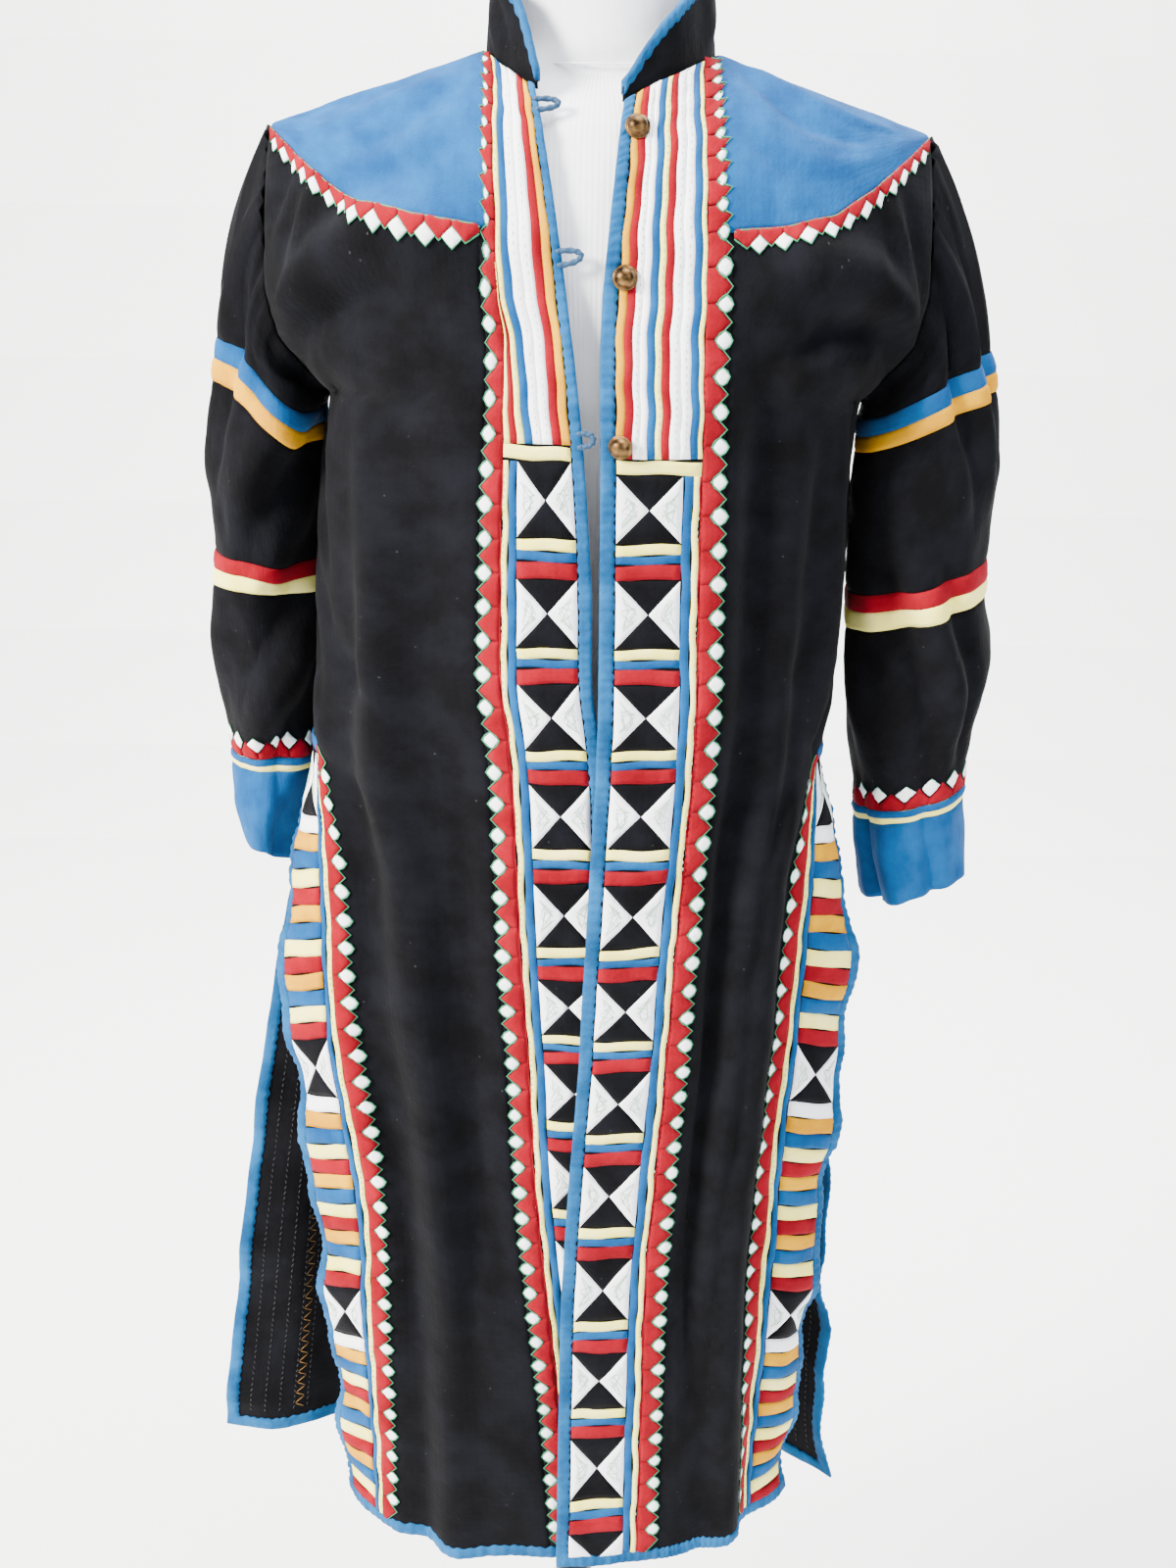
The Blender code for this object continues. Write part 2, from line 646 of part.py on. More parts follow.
def toothed(name, ends, middles, lift_in, lift_out, place, material_name, ring=False):
    """A strip with one straight edge and one edge of pointed teeth.

    ends holds a straight and a valley point between the teeth, middles a straight and a tip
    point for each tooth, and place turns such a point and a lift into a position.
    """
    mesh = bmesh.new()
    layers = []
    for lift in (lift_in, lift_out):
        layers.append([[[mesh.verts.new(place(*point, lift)) for point in pair]
                        for pair in pairs] for pairs in (ends, middles)])
    (low_ends, low_middles), (high_ends, high_middles) = layers
    for tooth in range(len(middles)):
        after = (tooth + 1) % len(ends)
        halves = ((low_ends[tooth], low_middles[tooth], high_ends[tooth], high_middles[tooth]),
                  (low_middles[tooth], low_ends[after], high_middles[tooth], high_ends[after]))
        for low_first, low_second, high_first, high_second in halves:
            for first, second in ((low_first, low_second), (high_first, high_second)):
                mesh.faces.new((first[0], second[0], second[1]))
                mesh.faces.new((first[0], second[1], first[1]))
            for edge in (0, 1):
                mesh.faces.new((low_first[edge], low_second[edge],
                                high_second[edge], high_first[edge]))
    if not ring:
        for low_end, high_end in ((low_ends[0], high_ends[0]), (low_ends[-1], high_ends[-1])):
            mesh.faces.new((low_end[0], low_end[1], high_end[1], high_end[0]))
    bmesh.ops.triangulate(mesh, faces=[face for face in mesh.faces if len(face.verts) > 3])
    return finish(name, mesh, material_name)


def spread(start, end, count):
    """Evenly spaced values from start to end."""
    return [start + (end - start) * step / count for step in range(count + 1)]


# Columns and levels of the pieces. Those above the chest follow the shoulders.
BAND_COLUMNS = [BINDING + SEAM, 0.036, 0.0635, SAW_TIP - SEAM]
FRONT_COLUMNS = [SAW_TIP, 0.091, 0.104, 0.120, 0.140, 0.163, FRONT_WIDTH - SIDE_PATCH, 0.204,
                 FRONT_WIDTH - BINDING - SEAM]
BACK_MIDDLE_COLUMNS = [0.028, 0.057]
LOWER_LEVELS = [HEM + BINDING + SEAM] + spread(0.450, 0.870, 6) + [0.910, SLIT_TOP - SEAM]
UPPER_LEVELS = [SLIT_TOP + 0.0035, 0.990, 1.035, 1.075, 1.115, 1.150, UNDERARM, 1.180, 1.190,
                1.210, CHEST]
BAND_TOP_LEVELS = [CHEST + (NECK_POINT - CHEST) * share
                   for share in (0.14, 0.28, 0.42, 0.56, 0.70, 0.85, 1.0)]
TO_YOKE = [CHEST + share for share in (0.25, 0.50, 0.75, 1.0)]
YOKE_TURNS = [-1.0, -0.85, -0.70, -0.56, -0.43, -0.31, -0.20, -0.10, 0.0,
              0.10, 0.20, 0.31, 0.43, 0.56, 0.70, 0.85, 1.0]
BACK_YOKE_HALF_COLUMNS = 3
BACK_YOKE_ROWS = 7


def draped(panel, across, up):
    """A point of a panel's drape with its large folds, and its outward direction."""
    normal = base_normal(panel, across, up)
    return base_point(panel, across, up) + normal * fold_height(panel, across, up), normal


def back_across(across):
    """Where the back has the column that meets a front's column on the shoulder."""
    share = (across - SAW_TIP) / (FRONT_WIDTH - SAW_TIP)
    return BACK_NECK_HALF + (BACK_HALF - BACK_NECK_HALF) * share


def back_half_columns():
    """The back's columns from its middle out to one binding."""
    matched = [back_across(across) for across in FRONT_COLUMNS[:-1]]
    return BACK_MIDDLE_COLUMNS + matched + [BACK_HALF - BINDING - SEAM]


def panel_up(panel, across, level):
    """Nominal height for a row level: rows above the chest spread up to the yoke's edge."""
    if level <= CHEST:
        return level
    edge = yoke_up(panel, across)
    return CHEST + (edge - CHEST) * (level - CHEST)


def panel_sheet(panel):
    """The black cloth of a front, from its band to its side, or of the whole back."""
    if panel == "back":
        half = back_half_columns()
        columns = [-at for at in half[::-1]] + [0.0] + half
    else:
        columns = FRONT_COLUMNS
    full = BACK_HALF if panel == "back" else FRONT_WIDTH
    edge = max(columns)

    def place(across, level):
        if abs(across) == edge and level > SLIT_TOP:
            across = math.copysign(full - SEAM / 2.0, across)
        seam = SEAM if level == TO_YOKE[-1] else 0.0
        return draped(panel, across, panel_up(panel, across, level) - seam)

    return Sheet(columns, LOWER_LEVELS + UPPER_LEVELS + TO_YOKE, place)


def band_sheet(panel):
    """The pieced band beside a front's open edge, from the hem to the neckline."""
    levels = LOWER_LEVELS + UPPER_LEVELS + BAND_TOP_LEVELS
    return Sheet(BAND_COLUMNS, levels, lambda across, up: draped(panel, across, up))


def shoulder_place(side, across, turn):
    """A point of a shoulder yoke: across as on the front, turn from front to back."""
    if turn < 0.0:
        low = yoke_up(side, across)
        return base_point(side, across, NECK_POINT + (NECK_POINT - low) * turn)
    behind = back_across(across) if side == "left" else -back_across(across)
    low = yoke_up("back", behind)
    return base_point("back", behind, NECK_POINT - (NECK_POINT - low) * turn)


def shoulder_yoke(side):
    """The plain yoke over one shoulder, from the front panel to the back one."""
    last = FRONT_WIDTH - SEAM / 2.0

    def place(across, turn):
        first, second = max(SAW_TIP, across - 0.003), min(last, across + 0.003)
        before, after = max(-1.0, turn - 0.02), min(1.0, turn + 0.02)
        outwards = shoulder_place(side, second, turn) - shoulder_place(side, first, turn)
        along = shoulder_place(side, across, after) - shoulder_place(side, across, before)
        normal = outwards.cross(along).normalized()
        if normal.z < 0.0:
            normal.negate()
        return shoulder_place(side, across, turn), normal

    first_column = SAW_TIP + 4.0 * SEAM
    return Sheet([first_column] + FRONT_COLUMNS[1:-1] + [last], YOKE_TURNS, place)


def back_yoke():
    """The yoke's middle, below the back of the collar."""
    half = BACK_NECK_HALF - SEAM

    def place(across, share):
        low = yoke_up("back", across)
        up = low + (NECK_POINT - low) * share
        return base_point("back", across, up), base_normal("back", across, up)

    return Sheet(spread(-half, half, 2 * BACK_YOKE_HALF_COLUMNS),
                 spread(0.0, 1.0, BACK_YOKE_ROWS), place)


def on_side(panel, distance):
    """Distance across a panel for a distance from its side edge, on either of its sides."""
    if panel == "back":
        return math.copysign(BACK_HALF - abs(distance), distance)
    return FRONT_WIDTH - distance


def binding(panel):
    """The folded blue edge along the open edge or slit, the hem and the side slit."""
    slit = [up for up in LOWER_LEVELS[1:]]
    inside = HEM + BINDING
    if panel == "back":
        first, last = -BACK_HALF + SEAM, BACK_HALF - SEAM
        half = back_half_columns()[:-1]
        columns = [-at for at in half[::-1]] + [0.0] + half
        heights = slit
    else:
        first, last = 0.0, FRONT_WIDTH - SEAM
        columns = BAND_COLUMNS[1:3] + FRONT_COLUMNS[:-1]
        heights = (LOWER_LEVELS + UPPER_LEVELS + BAND_TOP_LEVELS)[1:]
    inner_first = BINDING if panel != "back" else -BACK_HALF + BINDING
    pairs = [((first, up), (inner_first, up)) for up in reversed(heights)]
    pairs.append(((first, HEM), (inner_first, inside)))
    pairs += [((at, HEM), (at, inside)) for at in columns]
    pairs.append(((last, HEM), (last - BINDING + SEAM, inside)))
    pairs += [((last, up), (last - BINDING + SEAM, up)) for up in slit]

    def lifted(across, up, lift):
        point, normal = draped(panel, across, up)
        return point + normal * lift

    inner = [[lifted(*point, BINDING_IN) for point in pair] for pair in pairs]
    outer = [[lifted(*point, BINDING_OUT) for point in pair] for pair in pairs]
    return wall("binding_" + panel, inner, outer, "mid_blue")


def tooth_levels(length_at, low, high, pitch):
    """Heights of the valleys and tips of a row of teeth with an even real pitch."""
    count = 400
    heights = spread(low, high, count)
    lengths = [0.0]
    points = [length_at(height) for height in heights]
    for before, after in zip(points, points[1:]):
        lengths.append(lengths[-1] + (after - before).length)
    teeth = max(1, round(lengths[-1] / pitch))
    wanted = [lengths[-1] * half / (2 * teeth) for half in range(2 * teeth + 1)]
    found, index = [], 0
    for length in wanted:
        while index < count - 1 and lengths[index + 1] < length:
            index += 1
        share = (length - lengths[index]) / (lengths[index + 1] - lengths[index])
        found.append(heights[index] + (heights[index + 1] - heights[index]) * share)
    return found[0::2], found[1::2]


def front_teeth(panel, sheet):
    """The sawtooth strip along the outer side of a front band."""
    valleys, tips = tooth_levels(lambda up: base_point(panel, SAW_VALLEY, up),
                                 HEM + BINDING + 2.0 * SEAM, NECK_POINT - SEAM, TOOTH)
    return toothed("front_teeth_" + panel,
                   [((TEETH_START, up), (SAW_VALLEY, up)) for up in valleys],
                   [((TEETH_START, up), (SAW_TIP - SEAM, up)) for up in tips],
                   TEETH_LIFT, TEETH_LIFT + PATCH_CLOTH, sheet.at, "red")


def side_band(sheet, panel, sign, name):
    """The pieced band beside a side slit, laid on its panel."""
    wanted = sheet.columns[:3] if sign < 0.0 else sheet.columns[-3:]
    outermost = on_side(panel, sign * (BINDING + 2.0 * SEAM))
    columns = sorted([outermost] + [at for at in wanted if abs(at) < abs(outermost)])
    levels = [HEM + BINDING + 2.0 * SEAM] + LOWER_LEVELS[1:]
    inner = [[sheet.at(at, up, PATCH_LIFT) for at in columns] for up in levels]
    outer = [[sheet.at(at, up, PATCH_LIFT + PATCH_CLOTH) for at in columns] for up in levels]
    return wall("side_band_" + name, inner, outer, "patchwork")


def side_teeth(sheet, panel, sign, name):
    """The sawtooth strip along the inner side of a side band."""
    valleys, tips = tooth_levels(lambda up: base_point(panel, on_side(panel, sign * SIDE_VALLEY), up),
                                 HEM + BINDING + 2.0 * SEAM, SLIT_TOP - SEAM, TOOTH)
    straight, valley, tip = [on_side(panel, sign * distance)
                             for distance in (SIDE_PATCH + SEAM, SIDE_VALLEY, SIDE_TIP - SEAM)]
    return toothed("side_teeth_" + name,
                   [((straight, up), (valley, up)) for up in valleys],
                   [((straight, up), (tip, up)) for up in tips],
                   PATCH_LIFT, PATCH_LIFT + PATCH_CLOTH, sheet.at, "red")


def yoke_teeth(sheet, panel, sign, name):
    """The sawtooth strip that hangs from the yoke's lower edge on one panel."""
    start = BACK_NECK_HALF if panel == "back" else SAW_TIP + SEAM
    end = (BACK_HALF if panel == "back" else FRONT_WIDTH) - 2.0 * SEAM

    def place(share, drop, lift):
        across = sign * (start + (end - start) * share)
        edge = yoke_up(panel, across)
        here, below = base_point(panel, across, edge), base_point(panel, across, edge - 0.004)
        step = 0.004 / (here - below).length
        up = edge - (drop + 2.0 * SEAM) * step
        level = CHEST + (up - CHEST) / (edge - CHEST) if up > CHEST else up
        return sheet.at(across, level, lift)

    shares = spread(0.0, 1.0, 14)
    return toothed("yoke_teeth_" + name,
                   [((share, 0.0), (share, 0.4 * YOKE_BAND)) for share in shares[0::2]],
                   [((share, 0.0), (share, YOKE_BAND)) for share in shares[1::2]],
                   TEETH_LIFT, TEETH_LIFT + PATCH_CLOTH, place, "red")


def armhole_ring(sign, front, back, yoke):
    """The sleeve's first ring, just outside the armhole's own corners."""
    first = len(LOWER_LEVELS) + UPPER_LEVELS.index(UNDERARM)
    last = 0 if sign < 0.0 else len(back.columns) - 1
    crest = YOKE_TURNS.index(0.0)

    def outside(sheet, row, column):
        point, normal = sheet.points[row][column], sheet.normals[row][column]
        slope = 0.0
        if sheet is not yoke:
            above = sheet.points[min(row + 1, len(sheet.rows) - 1)][column]
            along = above - sheet.points[row - 1][column]
            slope = along.x / along.z
        step = CLOTH * max(0.0, sign * (normal.x - normal.z * slope)) + 1.5 * SEAM
        return point + Vector((sign * step, 0.0, 0.0))

    rising = [outside(front, row, len(front.columns) - 1)
              for row in range(first, len(front.rows))]
    falling = [outside(back, row, last) for row in range(len(back.rows) - 1, first, -1)]
    return rising + [outside(yoke, crest, len(yoke.columns) - 1)] + falling


def sleeve_rings(armhole, sign, table):
    """Rings of points down one sleeve, from the armhole to the cuff's end."""
    low, high = armhole[0].z, max(point.z for point in armhole)
    angles = [math.acos(1.0 - 2.0 * (point.z - low) / (high - low)) for point in armhole]
    top = angles.index(max(angles))
    angles = [angle + SLEEVE_TURN * math.sin(angle) for angle in angles]
    angles = angles[:top + 1] + [2.0 * math.pi - angle for angle in angles[top + 1:]]
    rings = []
    for row in table:
        ring = dict(zip(SLEEVE_COLUMNS, row))
        outer = Vector((ring["outer_x"], ring["mid_y"], ring["outer_z"]))
        inner = Vector((ring["inner_x"], ring["mid_y"], ring["inner_z"]))
        middle, arm = (outer + inner) / 2.0, (inner - outer) / 2.0
        depth = Vector((0.0, -ring["half_depth"], 0.0))
        rings.append([middle + arm * math.cos(angle) + depth * math.sin(angle)
                      for angle in angles])
    fan = []
    for share, puff, under in SLEEVE_FAN:
        ring = []
        for angle, start, end in zip(angles, armhole, rings[0]):
            shoulder = (1.0 - math.cos(angle)) / 2.0
            out = puff * shoulder + under * (1.0 - shoulder)
            ring.append(start.lerp(end, share) + Vector((sign * out, 0.0, 0.0)))
        fan.append(ring)
    return [armhole] + fan + rings


def ring_normals(rings, first, last):
    """Outward directions at the points of some rings, from their neighbours."""
    normals = []
    for row in range(first, last + 1):
        above, below = max(row - 1, 0), min(row + 1, len(rings) - 1)
        ring = []
        for side in range(len(rings[0])):
            ahead, behind = (side + 1) % len(rings[0]), side - 1
            around = rings[row][ahead] - rings[row][behind]
            down = rings[below][side] - rings[above][side]
            normal = around.cross(down).normalized()
            middle = sum(rings[row], Vector()) / len(rings[0])
            if normal.dot(rings[row][side] - middle) < 0.0:
                normal.negate()
            if row == 0 and normal.x * middle.x < 0.0:
                normal.x = 0.0
                normal.normalize()
            ring.append(normal)
        normals.append(ring)
    return normals


def sleeve_piece(name, rings, first, last, material_name):
    """One length of a sleeve, a little shorter than its seams at both ends."""
    points = [list(ring) for ring in rings[first:last + 1]]
    for end, beside, at in ((0, 1, first), (-1, -2, last)):
        if at in (0, len(rings) - 1):
            continue
        for side in range(len(rings[0])):
            towards = (points[beside][side] - points[end][side]).normalized()
            points[end][side] = points[end][side] + towards * SEAM / 2.0
    normals = ring_normals(rings, first, last)
    outer = [[point + normal * CLOTH for point, normal in zip(*pair)]
             for pair in zip(points, normals)]
    return wall(name, points, outer, material_name, around=True)


def cuff_teeth(name, rings):
    """The sawtooth ring above the cuff, laid on the lower sleeve."""
    normals = ring_normals(rings, CUFF_RING - 1, CUFF_RING)
    count = len(rings[0]) // 2

    def place(side, rise, lift):
        low, high = rings[CUFF_RING][side], rings[CUFF_RING - 1][side]
        share = rise / (high - low).length
        normal = normals[1][side].lerp(normals[0][side], share).normalized()
        return low.lerp(high, share) + normal * lift

    ends = [((2 * tooth, SEAM), (2 * tooth, 0.006)) for tooth in range(count)]
    middles = [((2 * tooth + 1, SEAM), (2 * tooth + 1, 0.015)) for tooth in range(count)]
    return toothed(name, ends, middles, PATCH_LIFT, PATCH_LIFT + PATCH_CLOTH, place, "red",
                   ring=True)


def sleeve(armhole, sign, side, table):
    """All the pieces of one sleeve."""
    rings = sleeve_rings(armhole, sign, table)
    for name, first, last, material_name in SLEEVE_PIECES:
        sleeve_piece(name + "_" + side, rings, first, last, material_name)
    cuff_teeth("cuff_teeth_" + side, rings)


def collar_seam():
    """Points of the neckline from the right front corner round the back to the left one."""
    front = (0.0, BINDING + SEAM, 0.036, 0.0635, SAW_TIP)
    right = [front_point("right", across, NECK_POINT) for across in front]
    left = [front_point("left", across, NECK_POINT) for across in front]
    columns = spread(-BACK_NECK_HALF, BACK_NECK_HALF, 2 * BACK_YOKE_HALF_COLUMNS)
    corners = [back_point(across, NECK_POINT) for across in columns]
    back = []
    for before, after in zip(corners, corners[1:]):
        back += [(before + after) / 2.0, after]
    return right + back[:-1] + left[::-1]


def collar():
    """The standing collar and the binding along its free edge."""
    points = collar_seam()
    last = len(points) - 1
    lengths = [0.0]
    for before, after in zip(points, points[1:]):
        lengths.append(lengths[-1] + (after - before).length)
    total = lengths[-1]
    outward = []
    for step, point in enumerate(points):
        along = points[min(step + 1, last)] - points[max(step - 1, 0)]
        normal = Vector((along.y, -along.x, 0.0)).normalized()
        if normal.dot(Vector((point.x, point.y + 0.015, 0.0))) < 0.0:
            normal.negate()
        outward.append(normal)

    def height(step):
        right = min(1.0, lengths[step] / COLLAR_RISE["right"])
        left = min(1.0, (total - lengths[step]) / COLLAR_RISE["left"])
        rise = math.sin(min(right, left) * math.pi / 2.0)
        low = COLLAR_BINDING + 0.004
        return low + (COLLAR_HEIGHT - low) * rise

    def at(step, rise, lift):
        lean = 0.05 * rise
        return points[step] + outward[step] * (lift - lean) + Vector((0.0, 0.0, rise))

    far, near = -COLLAR_INSET - COLLAR_CLOTH, -COLLAR_INSET
    steps = range(last + 1)

    def rows(lift, rises):
        return [[at(step, rise(step), lift) for step in steps] for rise in rises]

    body = [lambda step: 0.0,
            lambda step: 0.5 * (height(step) - COLLAR_BINDING - SEAM),
            lambda step: height(step) - COLLAR_BINDING - SEAM]
    wall("collar", rows(far, body), rows(near, body), "washed_black")
    edge = [lambda step: height(step) - COLLAR_BINDING, height]
    wall("collar_binding", rows(far - 0.0004, edge), rows(near + 0.0002, edge), "mid_blue")


def turned(name, profile, sides, material_name):
    """A solid of revolution about +Z from (radius, height) points that start and end at 0."""
    mesh = bmesh.new()
    rings = []
    for radius, height in profile:
        if radius == 0.0:
            rings.append([mesh.verts.new((0.0, 0.0, height))])
        else:
            rings.append([mesh.verts.new((radius * math.cos(2.0 * math.pi * side / sides),
                                          radius * math.sin(2.0 * math.pi * side / sides),
                                          height)) for side in range(sides)])
    for low, high in zip(rings, rings[1:]):
        for side in range(sides):
            after = (side + 1) % sides
            if len(low) == 1:
                mesh.faces.new((low[0], high[after], high[side]))
            elif len(high) == 1:
                mesh.faces.new((low[side], low[after], high[0]))
            else:
                mesh.faces.new((low[side], low[after], high[after], high[side]))
    return finish(name, mesh, material_name)


def button(sheet, number, height):
    """A domed metal button with a rolled rim, on the band."""
    rim = BUTTON_RADIUS
    profile = [(0.0, 0.0), (rim, 0.0004), (rim, 0.0022), (rim * 0.80, 0.0030),
               (rim * 0.60, 0.0060), (0.0, 0.0070)]
    made = turned("button_%d" % number, profile, 16, "antique_brass")
    up = up_at_height("left", BUTTON_ACROSS, height)
    low = sheet.at(BUTTON_ACROSS, up, BINDING_OUT + SEAM)
    high = sheet.at(BUTTON_ACROSS, up, 0.02)
    made.rotation_mode = "QUATERNION"
    made.rotation_quaternion = (high - low).to_track_quat("Z", "Y")
    made.location = low
    return made


def loop(number, height, reach):
    """A cord loop sewn to the right front's edge."""
    levels = LOWER_LEVELS + UPPER_LEVELS + BAND_TOP_LEVELS
    edge = Sheet([0.0, BINDING], levels, lambda across, up: draped("right", across, up))
    up = up_at_height("right", 0.0, height)
    middle = edge.at(0.0, up, 0.0)
    normal = base_normal("right", 0.0, up)
    rise = (edge.at(0.0, up + 0.002, 0.0) - edge.at(0.0, up - 0.002, 0.0)).normalized()
    away = normal.cross(rise).normalized()
    if away.dot(middle - edge.at(BINDING, up, 0.0)) < 0.0:
        away.negate()
    middle = middle + normal * 0.0008
    path = []
    steps = 10
    for step in range(steps + 1):
        angle = math.pi * (step / steps - 0.5)
        out = LOOP_GAP + (reach - LOOP_GAP) * max(0.0, math.cos(angle)) ** 0.8
        path.append(middle + away * out + rise * LOOP_SPREAD * math.sin(angle))
    sides = 6
    mesh = bmesh.new()
    rings = []
    for step, point in enumerate(path):
        along = (path[min(step + 1, steps)] - path[max(step - 1, 0)]).normalized()
        if step in (0, steps):
            along = away if step == 0 else -away
        across = normal.cross(along).normalized()
        ring = []
        for side in range(sides):
            angle = 2.0 * math.pi * side / sides
            ring.append(mesh.verts.new(point + across * LOOP_RADIUS * math.cos(angle)
                                       + normal * LOOP_RADIUS * math.sin(angle)))
        rings.append(ring)
    for low, high in zip(rings, rings[1:]):
        for side in range(sides):
            after = (side + 1) % sides
            mesh.faces.new((low[side], low[after], high[after], high[side]))
    mesh.faces.new(rings[0][::-1])
    mesh.faces.new(rings[-1])
    return finish("loop_%d" % number, mesh, "mid_blue")


def form_ring(height, half_width, front_depth, back_depth):
    """One level of the form as a rounded oval."""
    ring = []
    for side in range(FORM_SIDES):
        angle = 2.0 * math.pi * side / FORM_SIDES
        at = half_width * math.cos(angle)
        depth = front_depth if math.sin(angle) < 0.0 else back_depth
        ring.append(Vector((at, depth * math.sin(angle), height)))
    return ring


def form_shoulder_ring(height):
    """One level of the form under the shoulders, just inside the coat."""
    reach = NECK_HALF + (NECK_POINT - height - FORM_DROP) / SHOULDER_SLOPE
    reach = min(reach, straight_value(FORM_CAP, height))
    ring = []
    for side in range(FORM_SIDES):
        angle = 2.0 * math.pi * side / FORM_SIDES
        at = reach * math.cos(angle)
        face = "front" if math.sin(angle) < 0.0 else "back"
        rise = crest_height(at) - FORM_DROP - CHEST
        share = min(1.0, max(0.0, (height - CHEST) / rise))
        round_off = (1.0 - min(1.0, abs(math.cos(angle))) ** 6) ** 0.5
        depth = section_y(face, CHEST, at) * math.sqrt(1.0 - share * share)
        beside_neck = max(0.0, 1.0 - abs(at) / 0.10) * smooth_step((height - 1.34) / 0.03)
        shrink = FORM_SHRINK * (1.0 - FORM_NECK_SHRINK * beside_neck)
        ring.append(Vector((at, depth * shrink * round_off, height)))
    return ring


def form():
    """The torso of the form, its pole and its base."""
    rings = [form_ring(*row) for row in FORM_NECK]
    rings += [form_shoulder_ring(height) for height in FORM_SHOULDER_LEVELS]
    rings += [form_ring(*row) for row in FORM_TORSO]
    mesh = bmesh.new()
    made = [[mesh.verts.new(point) for point in ring] for ring in rings]
    for high, low in zip(made, made[1:]):
        for side in range(FORM_SIDES):
            after = (side + 1) % FORM_SIDES
            mesh.faces.new((high[side], low[side], low[after], high[after]))
    mesh.faces.new(made[0])
    mesh.faces.new(made[-1])
    bmesh.ops.triangulate(mesh, faces=mesh.faces)
    finish("form_torso", mesh, "jersey")
    turned("form_pole", [(0.0, HUB_HEIGHT + SEAM), (POLE_RADIUS, HUB_HEIGHT + SEAM),
                         (POLE_RADIUS, POLE_TOP), (0.0, POLE_TOP)], 24, "dark_steel")
    turned("form_base", [(0.0, 0.0), (BASE_RADIUS, 0.0), (BASE_RADIUS, BASE_HEIGHT * 0.6),
                         (BASE_RADIUS - 0.006, BASE_HEIGHT), (HUB_RADIUS, BASE_HEIGHT + 0.006),
                         (HUB_RADIUS * 0.8, HUB_HEIGHT), (0.0, HUB_HEIGHT)], 32, "dark_steel")


def build():
    """Make every piece of the coat and of its stand."""
    for old in list(bpy.data.objects):
        bpy.data.objects.remove(old)
    back = panel_sheet("back")
    back.wall("back_panel", "washed_black")
    binding("back")
    back_yoke().wall("yoke_back", "mid_blue")
    for sign, name in ((-1.0, "back_right"), (1.0, "back_left")):
        side_band(back, "back", sign, name)
        yoke_teeth(back, "back", sign, name)
    for side in ("right", "left"):
        panel = panel_sheet(side)
        panel.wall("front_panel_" + side, "washed_black")
        binding(side)
        band = band_sheet(side)
        band.wall("front_band_" + side, "patchwork")
        front_teeth(side, band)
        side_band(panel, side, 1.0, "front_" + side)
        side_teeth(panel, side, 1.0, "front_" + side)
        yoke_teeth(panel, side, 1.0, "front_" + side)
        yoke = shoulder_yoke(side)
        yoke.wall("yoke_" + side, "mid_blue")
        sign, table = (-1.0, RIGHT_SLEEVE) if side == "right" else (1.0, LEFT_SLEEVE)
        sleeve(armhole_ring(sign, panel, back, yoke), sign, side, table)
        if side == "left":
            for number, height in enumerate(BUTTON_HEIGHTS, start=1):
                button(band, number, height)
    collar()
    for number, (height, reach) in enumerate(LOOPS, start=1):
        loop(number, height, reach)
    form()


build()
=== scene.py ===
"""Patchwork duster coat on a dress form: folds, patchwork, stitching and finishes.

Every cloth piece is cut flat in metres, as across and up on its pattern, and is then laid on
the drape: x and y of the flat piece are places on the pattern and z is how far it stands off.
"""
import math

import bmesh
import bpy
import numpy as np
from mathutils import Matrix, Vector, noise


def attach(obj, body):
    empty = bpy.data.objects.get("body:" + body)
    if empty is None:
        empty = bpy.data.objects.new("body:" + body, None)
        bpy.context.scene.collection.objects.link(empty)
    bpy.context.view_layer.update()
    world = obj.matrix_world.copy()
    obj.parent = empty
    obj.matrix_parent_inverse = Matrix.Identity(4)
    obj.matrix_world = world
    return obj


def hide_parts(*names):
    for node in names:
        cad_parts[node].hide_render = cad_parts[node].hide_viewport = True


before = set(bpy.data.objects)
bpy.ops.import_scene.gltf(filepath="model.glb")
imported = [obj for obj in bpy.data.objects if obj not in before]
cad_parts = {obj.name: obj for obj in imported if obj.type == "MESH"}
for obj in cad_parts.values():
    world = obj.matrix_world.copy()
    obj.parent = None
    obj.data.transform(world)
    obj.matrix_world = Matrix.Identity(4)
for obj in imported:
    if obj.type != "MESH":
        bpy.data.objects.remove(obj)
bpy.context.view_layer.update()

# Main levels and half widths of the coat, in metres.
HEM = 0.38
SLIT_TOP = 0.95
UNDERARM = 1.175
CHEST = 1.24
NECK_POINT = 1.381
NECK_HALF = 0.073
SHOULDER_HALF = 0.2065
SHOULDER_SLOPE = 0.3365
FRONT_WIDTH = 0.24
BACK_HALF = 0.24
BACK_NECK_HALF = 0.085
BACK_NECK_DIP = 0.013

# The binding: how wide it shows, and how far it stands off.
BINDING = 0.009
BINDING_OUT = 0.0021

# Valleys and tips of the sawtooth edges.
SAW_VALLEY = 0.067
SAW_TIP = 0.077
SIDE_VALLEY = 0.056
SIDE_TIP = 0.065

# Spacing of the teeth of the bands by height: closer beside the yoke and towards the hem.
TOOTH_PITCH = [
    (0.8, 0.0185),
    (0.95, 0.0208),
    (1.262, 0.021),
    (1.285, 0.0148),
]

